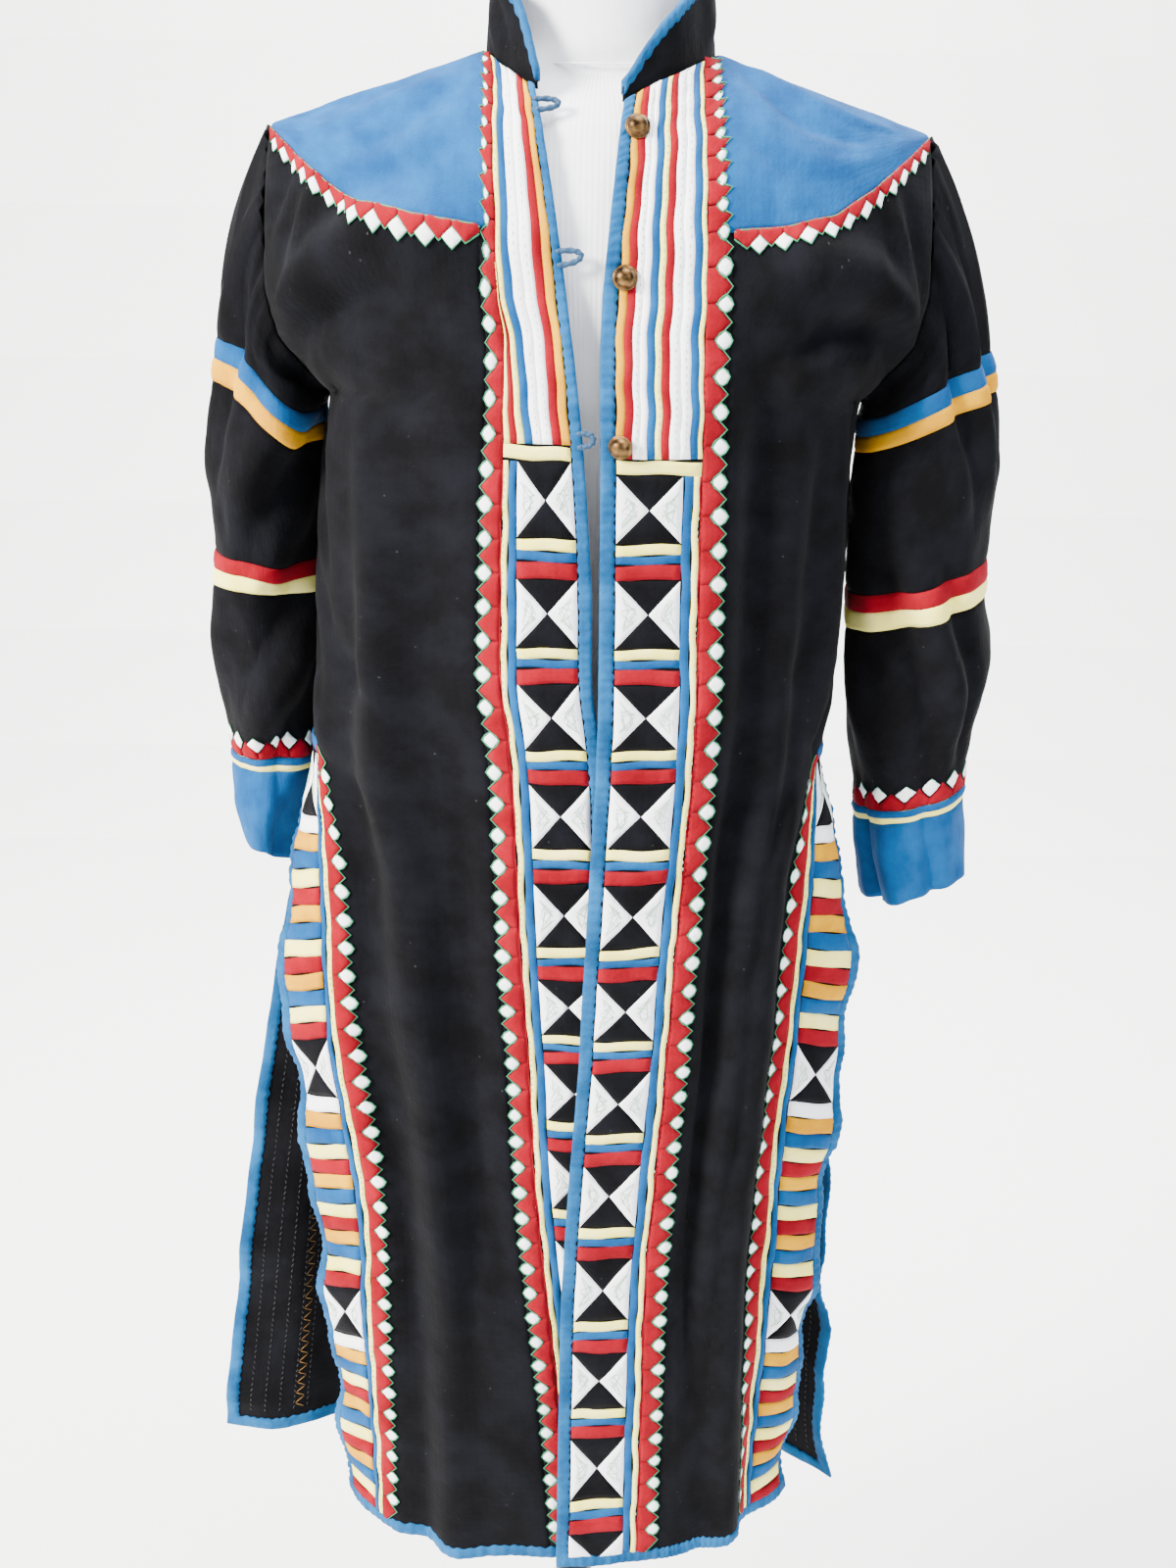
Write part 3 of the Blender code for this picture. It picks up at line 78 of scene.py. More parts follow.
# Each row is one level of the fronts below the chest: the wearer's right and left side edges,
# how far the cloth bulges between them, and two exponents for how square and how flat it is.
# The back hangs flatter on the wearer's right, where its slit stands open.
SECTION_COLUMNS = ("height", "right_x", "left_x", "right_y", "left_y", "depth", "square", "flat")
RIGHT_BACK_FLAT = [
    (0.895, 0.6),
    (0.86, 0.9),
    (0.81, 1.5),
    (0.64, 3.0),
    (0.42, 3.6),
    (0.38, 3.7),
]
FRONT_SECTIONS = [
    (1.24, -0.2175, 0.2175, 0.0, 0.0, 0.125, 2.4, 0.42),
    (1.21, -0.207, 0.207, 0.0, 0.0, 0.13, 2.4, 0.42),
    (1.19, -0.1885, 0.1885, 0.0, 0.0, 0.132, 2.4, 0.42),
    (1.18, -0.1765, 0.1765, 0.0, 0.0, 0.133, 2.4, 0.42),
    (1.175, -0.1705, 0.1705, 0.0, 0.0, 0.133, 2.4, 0.42),
    (1.15, -0.1758, 0.168, 0.0, 0.0, 0.134, 2.4, 0.42),
    (1.075, -0.1802, 0.1675, 0.0, 0.0, 0.134, 2.4, 0.42),
    (0.99, -0.1828, 0.163, -0.002, -0.002, 0.133, 2.4, 0.42),
    (0.95, -0.1855, 0.1575, -0.004, -0.004, 0.13, 2.4, 0.42),
    (0.93, -0.1865, 0.1565, -0.006, -0.006, 0.128, 2.4, 0.45),
    (0.895, -0.1915, 0.1655, -0.034, -0.034, 0.105, 2.4, 0.6),
    (0.81, -0.2045, 0.179, -0.074, -0.074, 0.068, 2.4, 0.85),
    (0.64, -0.1855, 0.1695, -0.09, -0.082, 0.055, 2.6, 0.85),
    (0.52, -0.1765, 0.162, -0.08, -0.072, 0.064, 2.8, 0.85),
    (0.42, -0.168, 0.155, -0.067, -0.056, 0.078, 3.0, 0.85),
    (0.38, -0.166, 0.154, -0.066, -0.055, 0.079, 3.0, 0.85),
]
BACK_SECTIONS = [
    (1.24, -0.2175, 0.2175, 0.0, 0.0, 0.105, 2.4, 0.42),
    (1.21, -0.207, 0.207, 0.0, 0.0, 0.108, 2.4, 0.42),
    (1.19, -0.1885, 0.1885, 0.0, 0.0, 0.11, 2.4, 0.42),
    (1.18, -0.1765, 0.1765, 0.0, 0.0, 0.11, 2.4, 0.42),
    (1.175, -0.1705, 0.1705, 0.0, 0.0, 0.11, 2.4, 0.42),
    (1.15, -0.1758, 0.168, 0.0, 0.0, 0.11, 2.4, 0.42),
    (1.075, -0.1802, 0.1675, 0.0, 0.0, 0.107, 2.4, 0.42),
    (0.99, -0.1828, 0.163, -0.002, -0.002, 0.108, 2.4, 0.42),
    (0.95, -0.1855, 0.1575, -0.004, -0.004, 0.113, 2.4, 0.42),
    (0.93, -0.1865, 0.1565, -0.006, -0.006, 0.114, 2.4, 0.45),
    (0.895, -0.189, 0.164, 0.006, -0.006, 0.116, 2.4, 0.6),
    (0.86, -0.194, 0.172, 0.012, -0.01, 0.116, 2.4, 0.75),
    (0.81, -0.213, 0.177, 0.01, -0.015, 0.114, 2.4, 0.8),
    (0.64, -0.242, 0.176, 0.008, -0.03, 0.106, 2.4, 0.85),
    (0.42, -0.268, 0.184, 0.005, -0.045, 0.096, 2.4, 0.85),
    (0.38, -0.272, 0.186, 0.004, -0.048, 0.095, 2.4, 0.85),
]

# Where each front's open edge hangs, from the neck corner down to the hem.
EDGE_COLUMNS = ("height", "right_x", "left_x")
FRONT_EDGES = [
    (1.24, -0.0178, 0.003),
    (1.2, -0.012, 0.0024),
    (1.15, -0.0062, 0.0036),
    (1.069, 0.0, 0.0046),
    (1.005, 0.0018, 0.0052),
    (0.973, 0.0065, 0.0049),
    (0.941, 0.0095, 0.0044),
    (0.9, 0.0118, 0.0022),
    (0.82, 0.016, -0.0008),
    (0.75, 0.0215, -0.0035),
    (0.666, 0.0265, -0.0085),
    (0.579, 0.0355, -0.012),
    (0.516, 0.0425, -0.0123),
    (0.437, 0.05, -0.0125),
    (0.38, 0.0545, -0.0125),
]
NECK_CORNERS = {"right": (-0.0385, 1.357), "left": (0.0135, 1.35)}

# How much the wearer's left front lies over the right one, and how far the bands lean.
OVERLAP_COLUMNS = ("height", "step", "right_scale", "left_scale")
OVERLAP = [
    (1.24, 0.0, 0.66, 1.0),
    (1.214, 0.0, 0.66, 1.0),
    (1.186, 0.0, 0.71, 1.0),
    (1.157, 0.0, 0.77, 1.0),
    (1.127, 0.0, 0.83, 1.0),
    (1.06, 0.0, 0.91, 1.0),
    (0.94, 0.008, 0.92, 1.0),
    (0.8, 0.009, 0.92, 0.93),
    (0.38, 0.009, 0.92, 0.92),
]

# The armhole's edge in the front view, below the chest level: height and half width.
ARMHOLE = [
    (1.24, 0.206),
    (1.21, 0.1995),
    (1.19, 0.186),
    (1.18, 0.175),
    (1.175, 0.1705),
]

# Large folds: where each one runs across its panel, how wide and deep it is, and its ends.
# A negative depth is a trough and a positive one a ridge.
FOLD_COLUMNS = ("panel", "across", "half_width", "depth", "top", "bottom", "drift")
FOLDS = [
    ("left", 0.104, 0.026, -0.014, 1.25, 0.52, -0.006),
    ("left", 0.15, 0.03, 0.009, 1.0, 0.3, 0.004),
    ("left", 0.19, 0.026, -0.006, 0.9, 0.3, 0.0),
    ("right", 0.104, 0.028, -0.008, 1.18, 0.56, 0.0),
    ("right", 0.133, 0.024, 0.008, 1.12, 0.3, 0.004),
    ("right", 0.158, 0.024, -0.008, 1.1, 0.3, -0.004),
    ("back", -0.15, 0.05, 0.01, 1.1, 0.3, -0.01),
    ("back", -0.07, 0.045, -0.009, 1.0, 0.3, 0.0),
    ("back", 0.01, 0.045, 0.008, 0.98, 0.3, 0.008),
    ("back", 0.09, 0.05, -0.008, 1.06, 0.3, 0.006),
    ("back", 0.15, 0.04, 0.007, 0.9, 0.3, 0.01),
]

# The lower edge of the yokes, from the band out to the shoulder end: distance and height.
YOKE_EDGE = [
    (0.06, 1.277),
    (0.08, 1.278),
    (0.105, 1.28),
    (0.135, 1.287),
    (0.16, 1.302),
    (0.185, 1.32),
    (0.2065, 1.334),
]

# Sleeve rings from the shoulder to the hand: the outer and the underarm point in the front
# view, the ring's middle in depth, and half its depth.
SLEEVE_COLUMNS = ("outer_x", "outer_z", "inner_x", "inner_z", "mid_y", "half_depth")
LEFT_SLEEVE = [
    (0.249, 1.203, 0.1755, 1.16, 0.0, 0.057),
    (0.253, 1.191, 0.1752, 1.149, 0.0, 0.057),
    (0.2555, 1.18, 0.1748, 1.139, 0.0, 0.057),
    (0.262, 1.145, 0.1733, 1.113, 0.0, 0.06),
    (0.2635, 1.105, 0.1722, 1.078, 0.0, 0.06),
    (0.2615, 1.071, 0.1725, 1.045, 0.0, 0.055),
    (0.262, 1.059, 0.1735, 1.034, 0.0, 0.055),
    (0.262, 1.048, 0.1745, 1.022, 0.0, 0.055),
    (0.2702, 1.005, 0.1765, 0.985, 0.0, 0.057),
    (0.262, 0.95, 0.183, 0.932, 0.0, 0.048),
    (0.2575, 0.915, 0.187, 0.897, 0.0, 0.041),
    (0.258, 0.906, 0.1875, 0.888, 0.0, 0.041),
    (0.261, 0.88, 0.19, 0.86, 0.0, 0.041),
    (0.262, 0.85, 0.195, 0.831, 0.0, 0.039),
]
RIGHT_SLEEVE = [
    (-0.241, 1.209, -0.1788, 1.162, 0.01, 0.056),
    (-0.243, 1.196, -0.1795, 1.151, 0.01, 0.056),
    (-0.246, 1.182, -0.18, 1.14, 0.01, 0.056),
    (-0.253, 1.145, -0.1818, 1.115, 0.01, 0.058),
    (-0.2535, 1.103, -0.184, 1.085, 0.01, 0.058),
    (-0.251, 1.067, -0.1855, 1.06, 0.01, 0.054),
    (-0.251, 1.058, -0.186, 1.05, 0.01, 0.054),
    (-0.25, 1.048, -0.1865, 1.04, 0.01, 0.054),
    (-0.252, 1.005, -0.1873, 0.998, 0.012, 0.055),
    (-0.249, 0.955, -0.19, 0.951, 0.016, 0.046),
    (-0.2465, 0.926, -0.193, 0.923, 0.018, 0.04),
    (-0.2465, 0.917, -0.1945, 0.914, 0.018, 0.04),
    (-0.245, 0.89, -0.2005, 0.883, 0.018, 0.04),
    (-0.24, 0.862, -0.205, 0.848, 0.018, 0.038),
]
# The cloth between the armhole and the first strip fans out: how far each ring is on its way,
# and how much it stands out on the shoulder side and under the arm. The turn spreads the
# armhole's points outwards round the arm.
SLEEVE_FAN = [
    (0.22, 0.005, 0.0034),
    (0.48, 0.0075, 0.0026),
    (0.75, 0.005, 0.0014),
]
SLEEVE_TURN = 0.38
# The sleeve pieces: the first and last ring of each one in the tables above. Ring 0 is the
# armhole, rings 1 to 3 are the fan, and the table's rows are ring 4 and on.
SLEEVE_PIECES = [
    ("sleeve_upper", 0, 4, "washed_black"),
    ("sleeve_blue_strip", 4, 5, "mid_blue"),
    ("sleeve_gold_strip", 5, 6, "gold"),
    ("sleeve_middle", 6, 9, "washed_black"),
    ("sleeve_red_strip", 9, 10, "red"),
    ("sleeve_cream_strip", 10, 11, "cream"),
    ("sleeve_lower", 11, 14, "washed_black"),
    ("cuff_stripe", 14, 15, "cream"),
    ("cuff", 15, 17, "mid_blue"),
]
CUFF_RING = 14
# Where a fold carries the trim down over the front of the wearer's right arm: how far each ring
# sinks, and the middle and half width of the dip as shares of a turn.
STRIP_SAG = {4: 0.012, 5: 0.012, 6: 0.012, 9: 0.003, 10: 0.003}
SAG_MIDDLE = 0.17
SAG_WIDTH = 0.085

# The collar stands inside the neckline.
COLLAR_HEIGHT = 0.046
COLLAR_RISE = {"right": 0.04, "left": 0.078}
COLLAR_BINDING = 0.008

# Buttons on the wearer's left front, and the height and reach of each loop on the right one.
BUTTON_HEIGHTS = (1.335, 1.251, 1.155)
BUTTON_ACROSS = 0.0125
LOOPS = [
    (1.346, 0.012),
    (1.262, 0.012),
    (1.158, 0.007),
]
LOOP_SPREAD = 0.004

# Dress form and stand. The rows of its cap are a height and half a width.
FORM_SHRINK = 0.93
FORM_NECK_SHRINK = 0.35
FORM_DROP = 0.0007
FORM_COLUMNS = ("height", "half_width", "front", "back")
FORM_NECK = [
    (1.452, 0.059, 0.056, 0.044),
    (1.425, 0.056, 0.0535, 0.0385),
    (1.4, 0.056, 0.054, 0.037),
    (1.388, 0.0575, 0.055, 0.0375),
    (1.381, 0.06, 0.0555, 0.038),
    (1.376, 0.064, 0.056, 0.0385),
]
FORM_CAP = [
    (1.35, 0.25),
    (1.345, 0.18),
    (1.338, 0.19),
    (1.328, 0.1945),
    (1.308, 0.1945),
    (1.275, 0.185),
    (1.24, 0.173),
]
FORM_TORSO = [
    (1.205, 0.16, 0.114, 0.096),
    (1.165, 0.152, 0.115, 0.093),
    (1.12, 0.141, 0.104, 0.087),
    (1.06, 0.124, 0.088, 0.08),
    (1.0, 0.119, 0.084, 0.08),
    (0.94, 0.13, 0.088, 0.088),
    (0.88, 0.146, 0.092, 0.094),
    (0.82, 0.152, 0.092, 0.088),
    (0.76, 0.148, 0.088, 0.076),
    (0.715, 0.138, 0.082, 0.066),
]
FORM_SEAM = 1.3735
POLE_RADIUS = 0.014
POLE_TOP = 0.7145
BASE_RADIUS = 0.195
BASE_HEIGHT = 0.014
HUB_RADIUS = 0.026
HUB_HEIGHT = 0.05

# Cloth and trim as they show, in metres: how far each stands off, how thick it is, how near
# corners are welded, and how deep and wide the cloth dips at a seam.
CLOTH_TOP = 0.0015
CLOTH_WALL = 0.0011
WELD = 0.00002
FINE_WELD = 0.00001
SEAM_DIP = 0.0007
SEAM_REACH = 0.004
PATCH_BASE = 0.0019
TEETH_BASE = PATCH_BASE + 0.0003
OVER_PATCH = PATCH_BASE + 0.0004
RING_LIFT = PATCH_BASE + 0.0006
STITCH_LIFT = PATCH_BASE + 0.0008
PATCH_PUFF = 0.0008
PATCH_WALL = 0.0005
PATCH_GAP = 0.0004

# The pieced column of a front band and the stripes beside it, from the open edge.
COLUMN_IN = 0.0096
COLUMN_OUT = 0.0498
BLUE_OUT = 0.056
CREAM_OUT = 0.0614
SAW_START = 0.0616

# The same on a side band, from the side edge.
SIDE_COLUMN_OUT = 0.0425
SIDE_BLUE_OUT = 0.0472
SIDE_CREAM_OUT = 0.052

# Tops of the blocks of each front band, where each one begins below the one before, and how a
# block is shared between its hourglass and its three bars.
BLOCK_TOPS = {
    "left": (1.1377, 1.0742, 1.0097, 0.947, 0.8836, 0.8198, 0.7575, 0.6902, 0.62, 0.5491,
             0.4821, 0.4068, 0.34),
    "right": (1.1454, 1.0746, 1.0096, 0.9454, 0.8814, 0.8166, 0.7587, 0.6976, 0.631, 0.564,
              0.497, 0.43, 0.364),
}
BLOCK_SHARES = (("pale cream", 0.655, 0.762), ("mid blue", 0.762, 0.85), ("red", 0.85, 1.0))
FIRST_BAR = 0.0085

# A side band from its top: an hourglass, a white bar and three runs of four bars.
SIDE_HOURGLASS = 0.041
SIDE_BAR = 0.011
SIDE_LEAN = 0.26
SIDE_RUN = ("gold", "mid blue", "pale cream", "red")

# Stripes above the blocks, from the open edge: width in millimetres at the blocks, width from
# halfway up to the neck, and whether a pale green running stitch runs along its middle.
STRIPE_COLUMNS = ("colour", "low", "high", "stitched")
STRIPES = {
    "left": [
        ("gold", 4.9, 4.9, False), ("red", 4.9, 4.9, False), ("white", 4.2, 4.2, True),
        ("white", 4.2, 4.2, False), ("mid blue", 4.8, 4.8, False),
        ("pale cream", 3.9, 3.9, True), ("red", 4.9, 4.9, False), ("white", 6.2, 6.2, True),
        ("white", 6.2, 6.2, True), ("mid blue", 4.8, 4.8, False), ("pale cream", 3.0, 3.0, True),
    ],
    "right": [
        ("gold", 7.2, 8.6, False), ("red", 7.4, 8.8, False), ("white", 7.2, 11.0, True),
        ("white", 7.2, 11.0, True), ("mid blue", 6.6, 7.4, False), ("pale cream", 5.6, 5.2, True),
        ("red", 5.8, 0.0, False), ("pale cream", 5.0, 0.0, False),
    ],
}

# How much deeper than their tables say the creases are made.
CREASE_SCALE = {"panel": 1.7, "yoke": 2.2, "sleeve": 2.0}

# Creases of each panel: the depth (below zero for a trough), half the width, and the points it
# runs through as across and up, in metres.
CREASES = {
    "right": [
        (-0.0075, 0.02, ((0.232, 1.195), (0.19, 1.222), (0.15, 1.238), (0.11, 1.238))),
        (0.009, 0.024, ((0.222, 1.226), (0.18, 1.256), (0.135, 1.268), (0.088, 1.262))),
        (-0.003, 0.011, ((0.236, 1.215), (0.212, 1.252), (0.205, 1.29))),
        (0.0026, 0.01, ((0.228, 1.235), (0.2, 1.27), (0.19, 1.3))),
        (-0.0022, 0.009, ((0.238, 1.262), (0.222, 1.29), (0.214, 1.32))),
        (-0.0035, 0.016, ((0.23, 1.165), (0.195, 1.12), (0.18, 1.04))),
        (0.0028, 0.014, ((0.15, 1.19), (0.138, 1.08), (0.128, 0.96))),
        (-0.0026, 0.015, ((0.215, 1.08), (0.17, 1.01), (0.13, 0.985))),
        (0.0022, 0.014, ((0.225, 1.02), (0.18, 0.955), (0.14, 0.93))),
        (-0.003, 0.016, ((0.165, 0.9), (0.172, 0.76), (0.16, 0.56))),
        (0.003, 0.016, ((0.12, 0.86), (0.124, 0.7), (0.128, 0.52))),
        (-0.0024, 0.014, ((0.092, 0.96), (0.096, 0.76), (0.1, 0.64))),
        (0.0016, 0.007, ((0.09, 0.7), (0.14, 0.708), (0.165, 0.7))),
    ],
    "left": [
        (-0.008, 0.02, ((0.232, 1.195), (0.195, 1.22), (0.155, 1.222), (0.118, 1.205))),
        (0.009, 0.024, ((0.22, 1.226), (0.18, 1.25), (0.14, 1.254), (0.096, 1.242))),
        (-0.0026, 0.01, ((0.236, 1.222), (0.22, 1.262), (0.212, 1.3))),
        (0.0024, 0.01, ((0.226, 1.24), (0.204, 1.275), (0.196, 1.305))),
        (-0.0034, 0.015, ((0.232, 1.16), (0.205, 1.1), (0.198, 1.0))),
        (0.0034, 0.016, ((0.18, 1.18), (0.172, 1.06), (0.168, 0.93))),
        (-0.0032, 0.015, ((0.15, 1.16), (0.145, 1.04), (0.14, 0.9))),
        (-0.0024, 0.014, ((0.225, 1.01), (0.19, 0.965), (0.16, 0.95))),
        (0.0034, 0.016, ((0.128, 0.96), (0.126, 0.78), (0.122, 0.52))),
        (-0.003, 0.014, ((0.17, 0.9), (0.176, 0.7), (0.17, 0.5))),
        (0.002, 0.012, ((0.09, 0.82), (0.092, 0.64), (0.094, 0.48))),
    ],
    "back": [
        (-0.005, 0.02, ((-0.228, 1.19), (-0.18, 1.222), (-0.12, 1.232))),
        (0.004, 0.018, ((-0.215, 1.235), (-0.165, 1.256), (-0.115, 1.258))),
        (-0.005, 0.02, ((0.228, 1.19), (0.185, 1.218), (0.13, 1.226))),
        (0.004, 0.018, ((0.215, 1.232), (0.17, 1.252), (0.12, 1.25))),
        (-0.0038, 0.018, ((-0.12, 1.15), (-0.112, 1.0), (-0.125, 0.84))),
        (0.0036, 0.017, ((-0.06, 1.19), (-0.05, 1.04), (-0.052, 0.88))),
        (-0.0034, 0.017, ((0.02, 1.17), (0.03, 1.02), (0.022, 0.82))),
        (0.0036, 0.018, ((0.09, 1.18), (0.098, 1.02), (0.092, 0.86))),
        (-0.003, 0.016, ((0.165, 1.12), (0.158, 0.98), (0.165, 0.8))),
        (0.003, 0.018, ((-0.18, 0.9), (-0.176, 0.7), (-0.182, 0.5))),
        (-0.003, 0.018, ((-0.11, 0.78), (-0.104, 0.6), (-0.108, 0.42))),
        (0.003, 0.018, ((0.05, 0.76), (0.058, 0.6), (0.05, 0.43))),
        (-0.003, 0.016, ((0.128, 0.8), (0.134, 0.62), (0.128, 0.44))),
    ],
}

# Creases of the yokes, as a share from the neck to the shoulder end and a share from the front
# edge over the shoulder to the back one.
YOKE_CREASES = {
    "right": [
        (-0.0016, 0.06, ((0.02, 0.3), (0.3, 0.22), (0.62, 0.1))),
        (0.0016, 0.055, ((0.06, 0.34), (0.38, 0.3), (0.72, 0.2))),
        (-0.0012, 0.045, ((0.1, 0.14), (0.34, 0.1), (0.5, 0.04))),
        (0.001, 0.04, ((0.3, 0.42), (0.6, 0.38), (0.86, 0.34))),
        (-0.0012, 0.05, ((0.1, 0.66), (0.4, 0.72), (0.66, 0.8))),
    ],
    "left": [
        (-0.002, 0.05, ((0.06, 0.36), (0.34, 0.24), (0.66, 0.18))),
        (0.002, 0.05, ((0.1, 0.42), (0.42, 0.32), (0.76, 0.25))),
        (-0.0014, 0.04, ((0.02, 0.2), (0.22, 0.12), (0.4, 0.08))),
        (0.001, 0.04, ((0.24, 0.16), (0.46, 0.12), (0.7, 0.1))),
        (-0.0012, 0.05, ((0.12, 0.64), (0.42, 0.7), (0.7, 0.78))),
    ],
}

# Creases of a sleeve, as a share of a turn from under the arm over the front, and the distance
# down the sleeve.
SLEEVE_CREASES = {
    "right": [
        (-0.0036, 0.034, ((0.3, 0.0), (0.34, 0.05), (0.38, 0.13))),
        (0.003, 0.03, ((0.36, 0.0), (0.4, 0.05), (0.44, 0.13))),
        (-0.0034, 0.03, ((0.42, 0.0), (0.45, 0.06), (0.48, 0.14))),
        (0.0028, 0.03, ((0.47, 0.0), (0.5, 0.06), (0.52, 0.14))),
        (-0.003, 0.03, ((0.53, 0.0), (0.55, 0.06), (0.57, 0.14))),
        (-0.003, 0.03, ((0.63, 0.0), (0.64, 0.06), (0.66, 0.13))),
        (0.004, 0.05, ((0.06, 0.05), (0.2, 0.09), (0.32, 0.15))),
        (-0.0046, 0.045, ((0.02, 0.07), (0.16, 0.12), (0.3, 0.17))),
        (-0.005, 0.05, ((0.05, 0.17), (0.18, 0.22), (0.36, 0.26))),
        (0.0044, 0.05, ((0.03, 0.21), (0.16, 0.26), (0.32, 0.31))),
        (-0.004, 0.045, ((0.06, 0.27), (0.2, 0.31), (0.34, 0.33))),
        (0.003, 0.045, ((0.3, 0.18), (0.4, 0.22), (0.46, 0.29))),
        (-0.0036, 0.05, ((0.1, 0.37), (0.22, 0.4), (0.36, 0.42))),
        (0.0034, 0.045, ((0.08, 0.41), (0.2, 0.43), (0.34, 0.45))),
        (-0.0034, 0.05, ((0.7, 0.18), (0.8, 0.24), (0.92, 0.27))),
        (0.0032, 0.05, ((0.66, 0.38), (0.78, 0.41), (0.9, 0.43))),
    ],
    "left": [
        (-0.004, 0.034, ((0.28, 0.0), (0.31, 0.06), (0.36, 0.14))),
        (0.0032, 0.03, ((0.34, 0.0), (0.37, 0.06), (0.41, 0.14))),
        (-0.0036, 0.03, ((0.4, 0.0), (0.43, 0.07), (0.46, 0.15))),
        (0.003, 0.03, ((0.46, 0.0), (0.48, 0.07), (0.51, 0.15))),
        (-0.0032, 0.03, ((0.52, 0.0), (0.53, 0.06), (0.56, 0.14))),
        (-0.003, 0.03, ((0.62, 0.0), (0.63, 0.06), (0.66, 0.13))),
        (-0.0052, 0.05, ((0.12, 0.16), (0.2, 0.22), (0.26, 0.3))),
        (0.0046, 0.045, ((0.2, 0.16), (0.28, 0.22), (0.33, 0.3))),
        (-0.0036, 0.04, ((0.28, 0.18), (0.35, 0.24), (0.38, 0.31))),
        (0.004, 0.05, ((0.02, 0.22), (0.1, 0.27), (0.2, 0.31))),
        (-0.0044, 0.04, ((0.06, 0.33), (0.1, 0.4), (0.12, 0.46))),
        (0.0036, 0.04, ((0.14, 0.34), (0.18, 0.4), (0.2, 0.46))),
        (-0.003, 0.045, ((0.26, 0.34), (0.3, 0.4), (0.3, 0.45))),
        (-0.0034, 0.05, ((0.7, 0.18), (0.8, 0.24), (0.92, 0.27))),
        (0.0032, 0.05, ((0.66, 0.38), (0.78, 0.41), (0.9, 0.43))),
    ],
}

# Creases of the collar, by the distance along it and up it.
COLLAR_CREASES = [
    (-0.0026, 0.01, ((0.03, 0.006), (0.046, 0.026), (0.066, 0.04))),
    (0.0022, 0.009, ((0.044, 0.002), (0.06, 0.02), (0.082, 0.034))),
    (-0.0018, 0.008, ((0.33, 0.004), (0.316, 0.02), (0.3, 0.036))),
    (0.0014, 0.008, ((0.344, 0.01), (0.326, 0.026), (0.312, 0.04))),
]


def smooth_step(amount):
    """Ease from 0 to 1 with flat ends."""
    amount = min(1.0, max(0.0, amount))
    return amount * amount * (3.0 - 2.0 * amount)


def table_value(table, columns, column, height):
    """Read one column of a table that runs downwards, smoothly between its rows."""
    place = columns.index(column)
    if height >= table[0][0]:
        return table[0][place]
    if height <= table[-1][0]:
        return table[-1][place]
    for row in range(len(table) - 1):
        if height >= table[row + 1][0]:
            break
    low, high = table[row + 1], table[row]
    span = high[0] - low[0]
    amount = (height - low[0]) / span

    def slope(index):
        before = table[max(index - 1, 0)]
        after = table[min(index + 1, len(table) - 1)]
        return (before[place] - after[place]) / (before[0] - after[0])

    square, cube = amount * amount, amount ** 3
    start = (2.0 * cube - 3.0 * square + 1.0) * low[place]
    start_slope = (cube - 2.0 * square + amount) * span * slope(row + 1)
    end = (3.0 * square - 2.0 * cube) * high[place]
    end_slope = (cube - square) * span * slope(row)
    return start + start_slope + end + end_slope


def straight_value(table, at):
    """Read the second column of a two-column table by its first, straight between rows."""
    rows = sorted(table)
    if at <= rows[0][0]:
        return rows[0][1]
    for low, high in zip(rows, rows[1:]):
        if at <= high[0]:
            return low[1] + (high[1] - low[1]) * (at - low[0]) / (high[0] - low[0])
    return rows[-1][1]


def crest_height(distance):
    """Height of the shoulder line at a distance from the middle."""
    return NECK_POINT + (NECK_HALF - abs(distance)) * SHOULDER_SLOPE


def section_y(face, height, at):
    """Depth of the front or back cloth at a level at or below the chest."""
    table = FRONT_SECTIONS if face == "front" else BACK_SECTIONS
    row = {name: table_value(table, SECTION_COLUMNS, name, height) for name in SECTION_COLUMNS[1:]}
    across = (at - row["right_x"]) / (row["left_x"] - row["right_x"])
    turn = min(1.0, abs(2.0 * across - 1.0))
    flat = row["flat"]
    if face == "back" and across < 0.5 and height < RIGHT_BACK_FLAT[0][0]:
        flat = straight_value(RIGHT_BACK_FLAT, height)
    bulge = row["depth"] * (1.0 - turn ** row["square"]) ** flat
    level = row["right_y"] + (row["left_y"] - row["right_y"]) * across
    return level - bulge if face == "front" else level + bulge


def side_limit(face, side, height):
    """Where a panel ends sideways: its side edge, or the armhole above the underarm."""
    sign = 1.0 if side == "left" else -1.0
    if height > UNDERARM:
        return sign * straight_value(ARMHOLE, height)
    table = FRONT_SECTIONS if face == "front" else BACK_SECTIONS
    return table_value(table, SECTION_COLUMNS, side + "_x", height)


def apart(before, after):
    """The distance between two vectors."""
    return (after - before).length


def running_lengths(points, measure=apart):
    """How far along a row of points each one is."""
    lengths = [0.0]
    for before, after in zip(points, points[1:]):
        lengths.append(lengths[-1] + measure(before, after))
    return lengths


_lines = {}


def section_line(face, side, height):
    """Points and running lengths of one level, from the front edge or side to the side."""
    key = (face, side, round(height, 5))
    if key in _lines:
        return _lines[key]
    end = side_limit(face, side, height)
    if face == "front":
        start = table_value(FRONT_EDGES, EDGE_COLUMNS, side + "_x", height)
    else:
        start = side_limit(face, "right", height)
    table = FRONT_SECTIONS if face == "front" else BACK_SECTIONS
    right = table_value(table, SECTION_COLUMNS, "right_x", height)
    left = table_value(table, SECTION_COLUMNS, "left_x", height)
    middle, half = (right + left) / 2.0, (left - right) / 2.0
    begin = math.asin(max(-1.0, min(1.0, (start - middle) / half)))
    finish = math.asin(max(-1.0, min(1.0, (end - middle) / half)))
    points = []
    steps = 72
    for step in range(steps + 1):
        angle = begin + (finish - begin) * step / steps
        at = middle + half * math.sin(angle)
        points.append((at, section_y(face, height, at)))
    _lines[key] = (points, running_lengths(points, math.dist))
    return _lines[key]


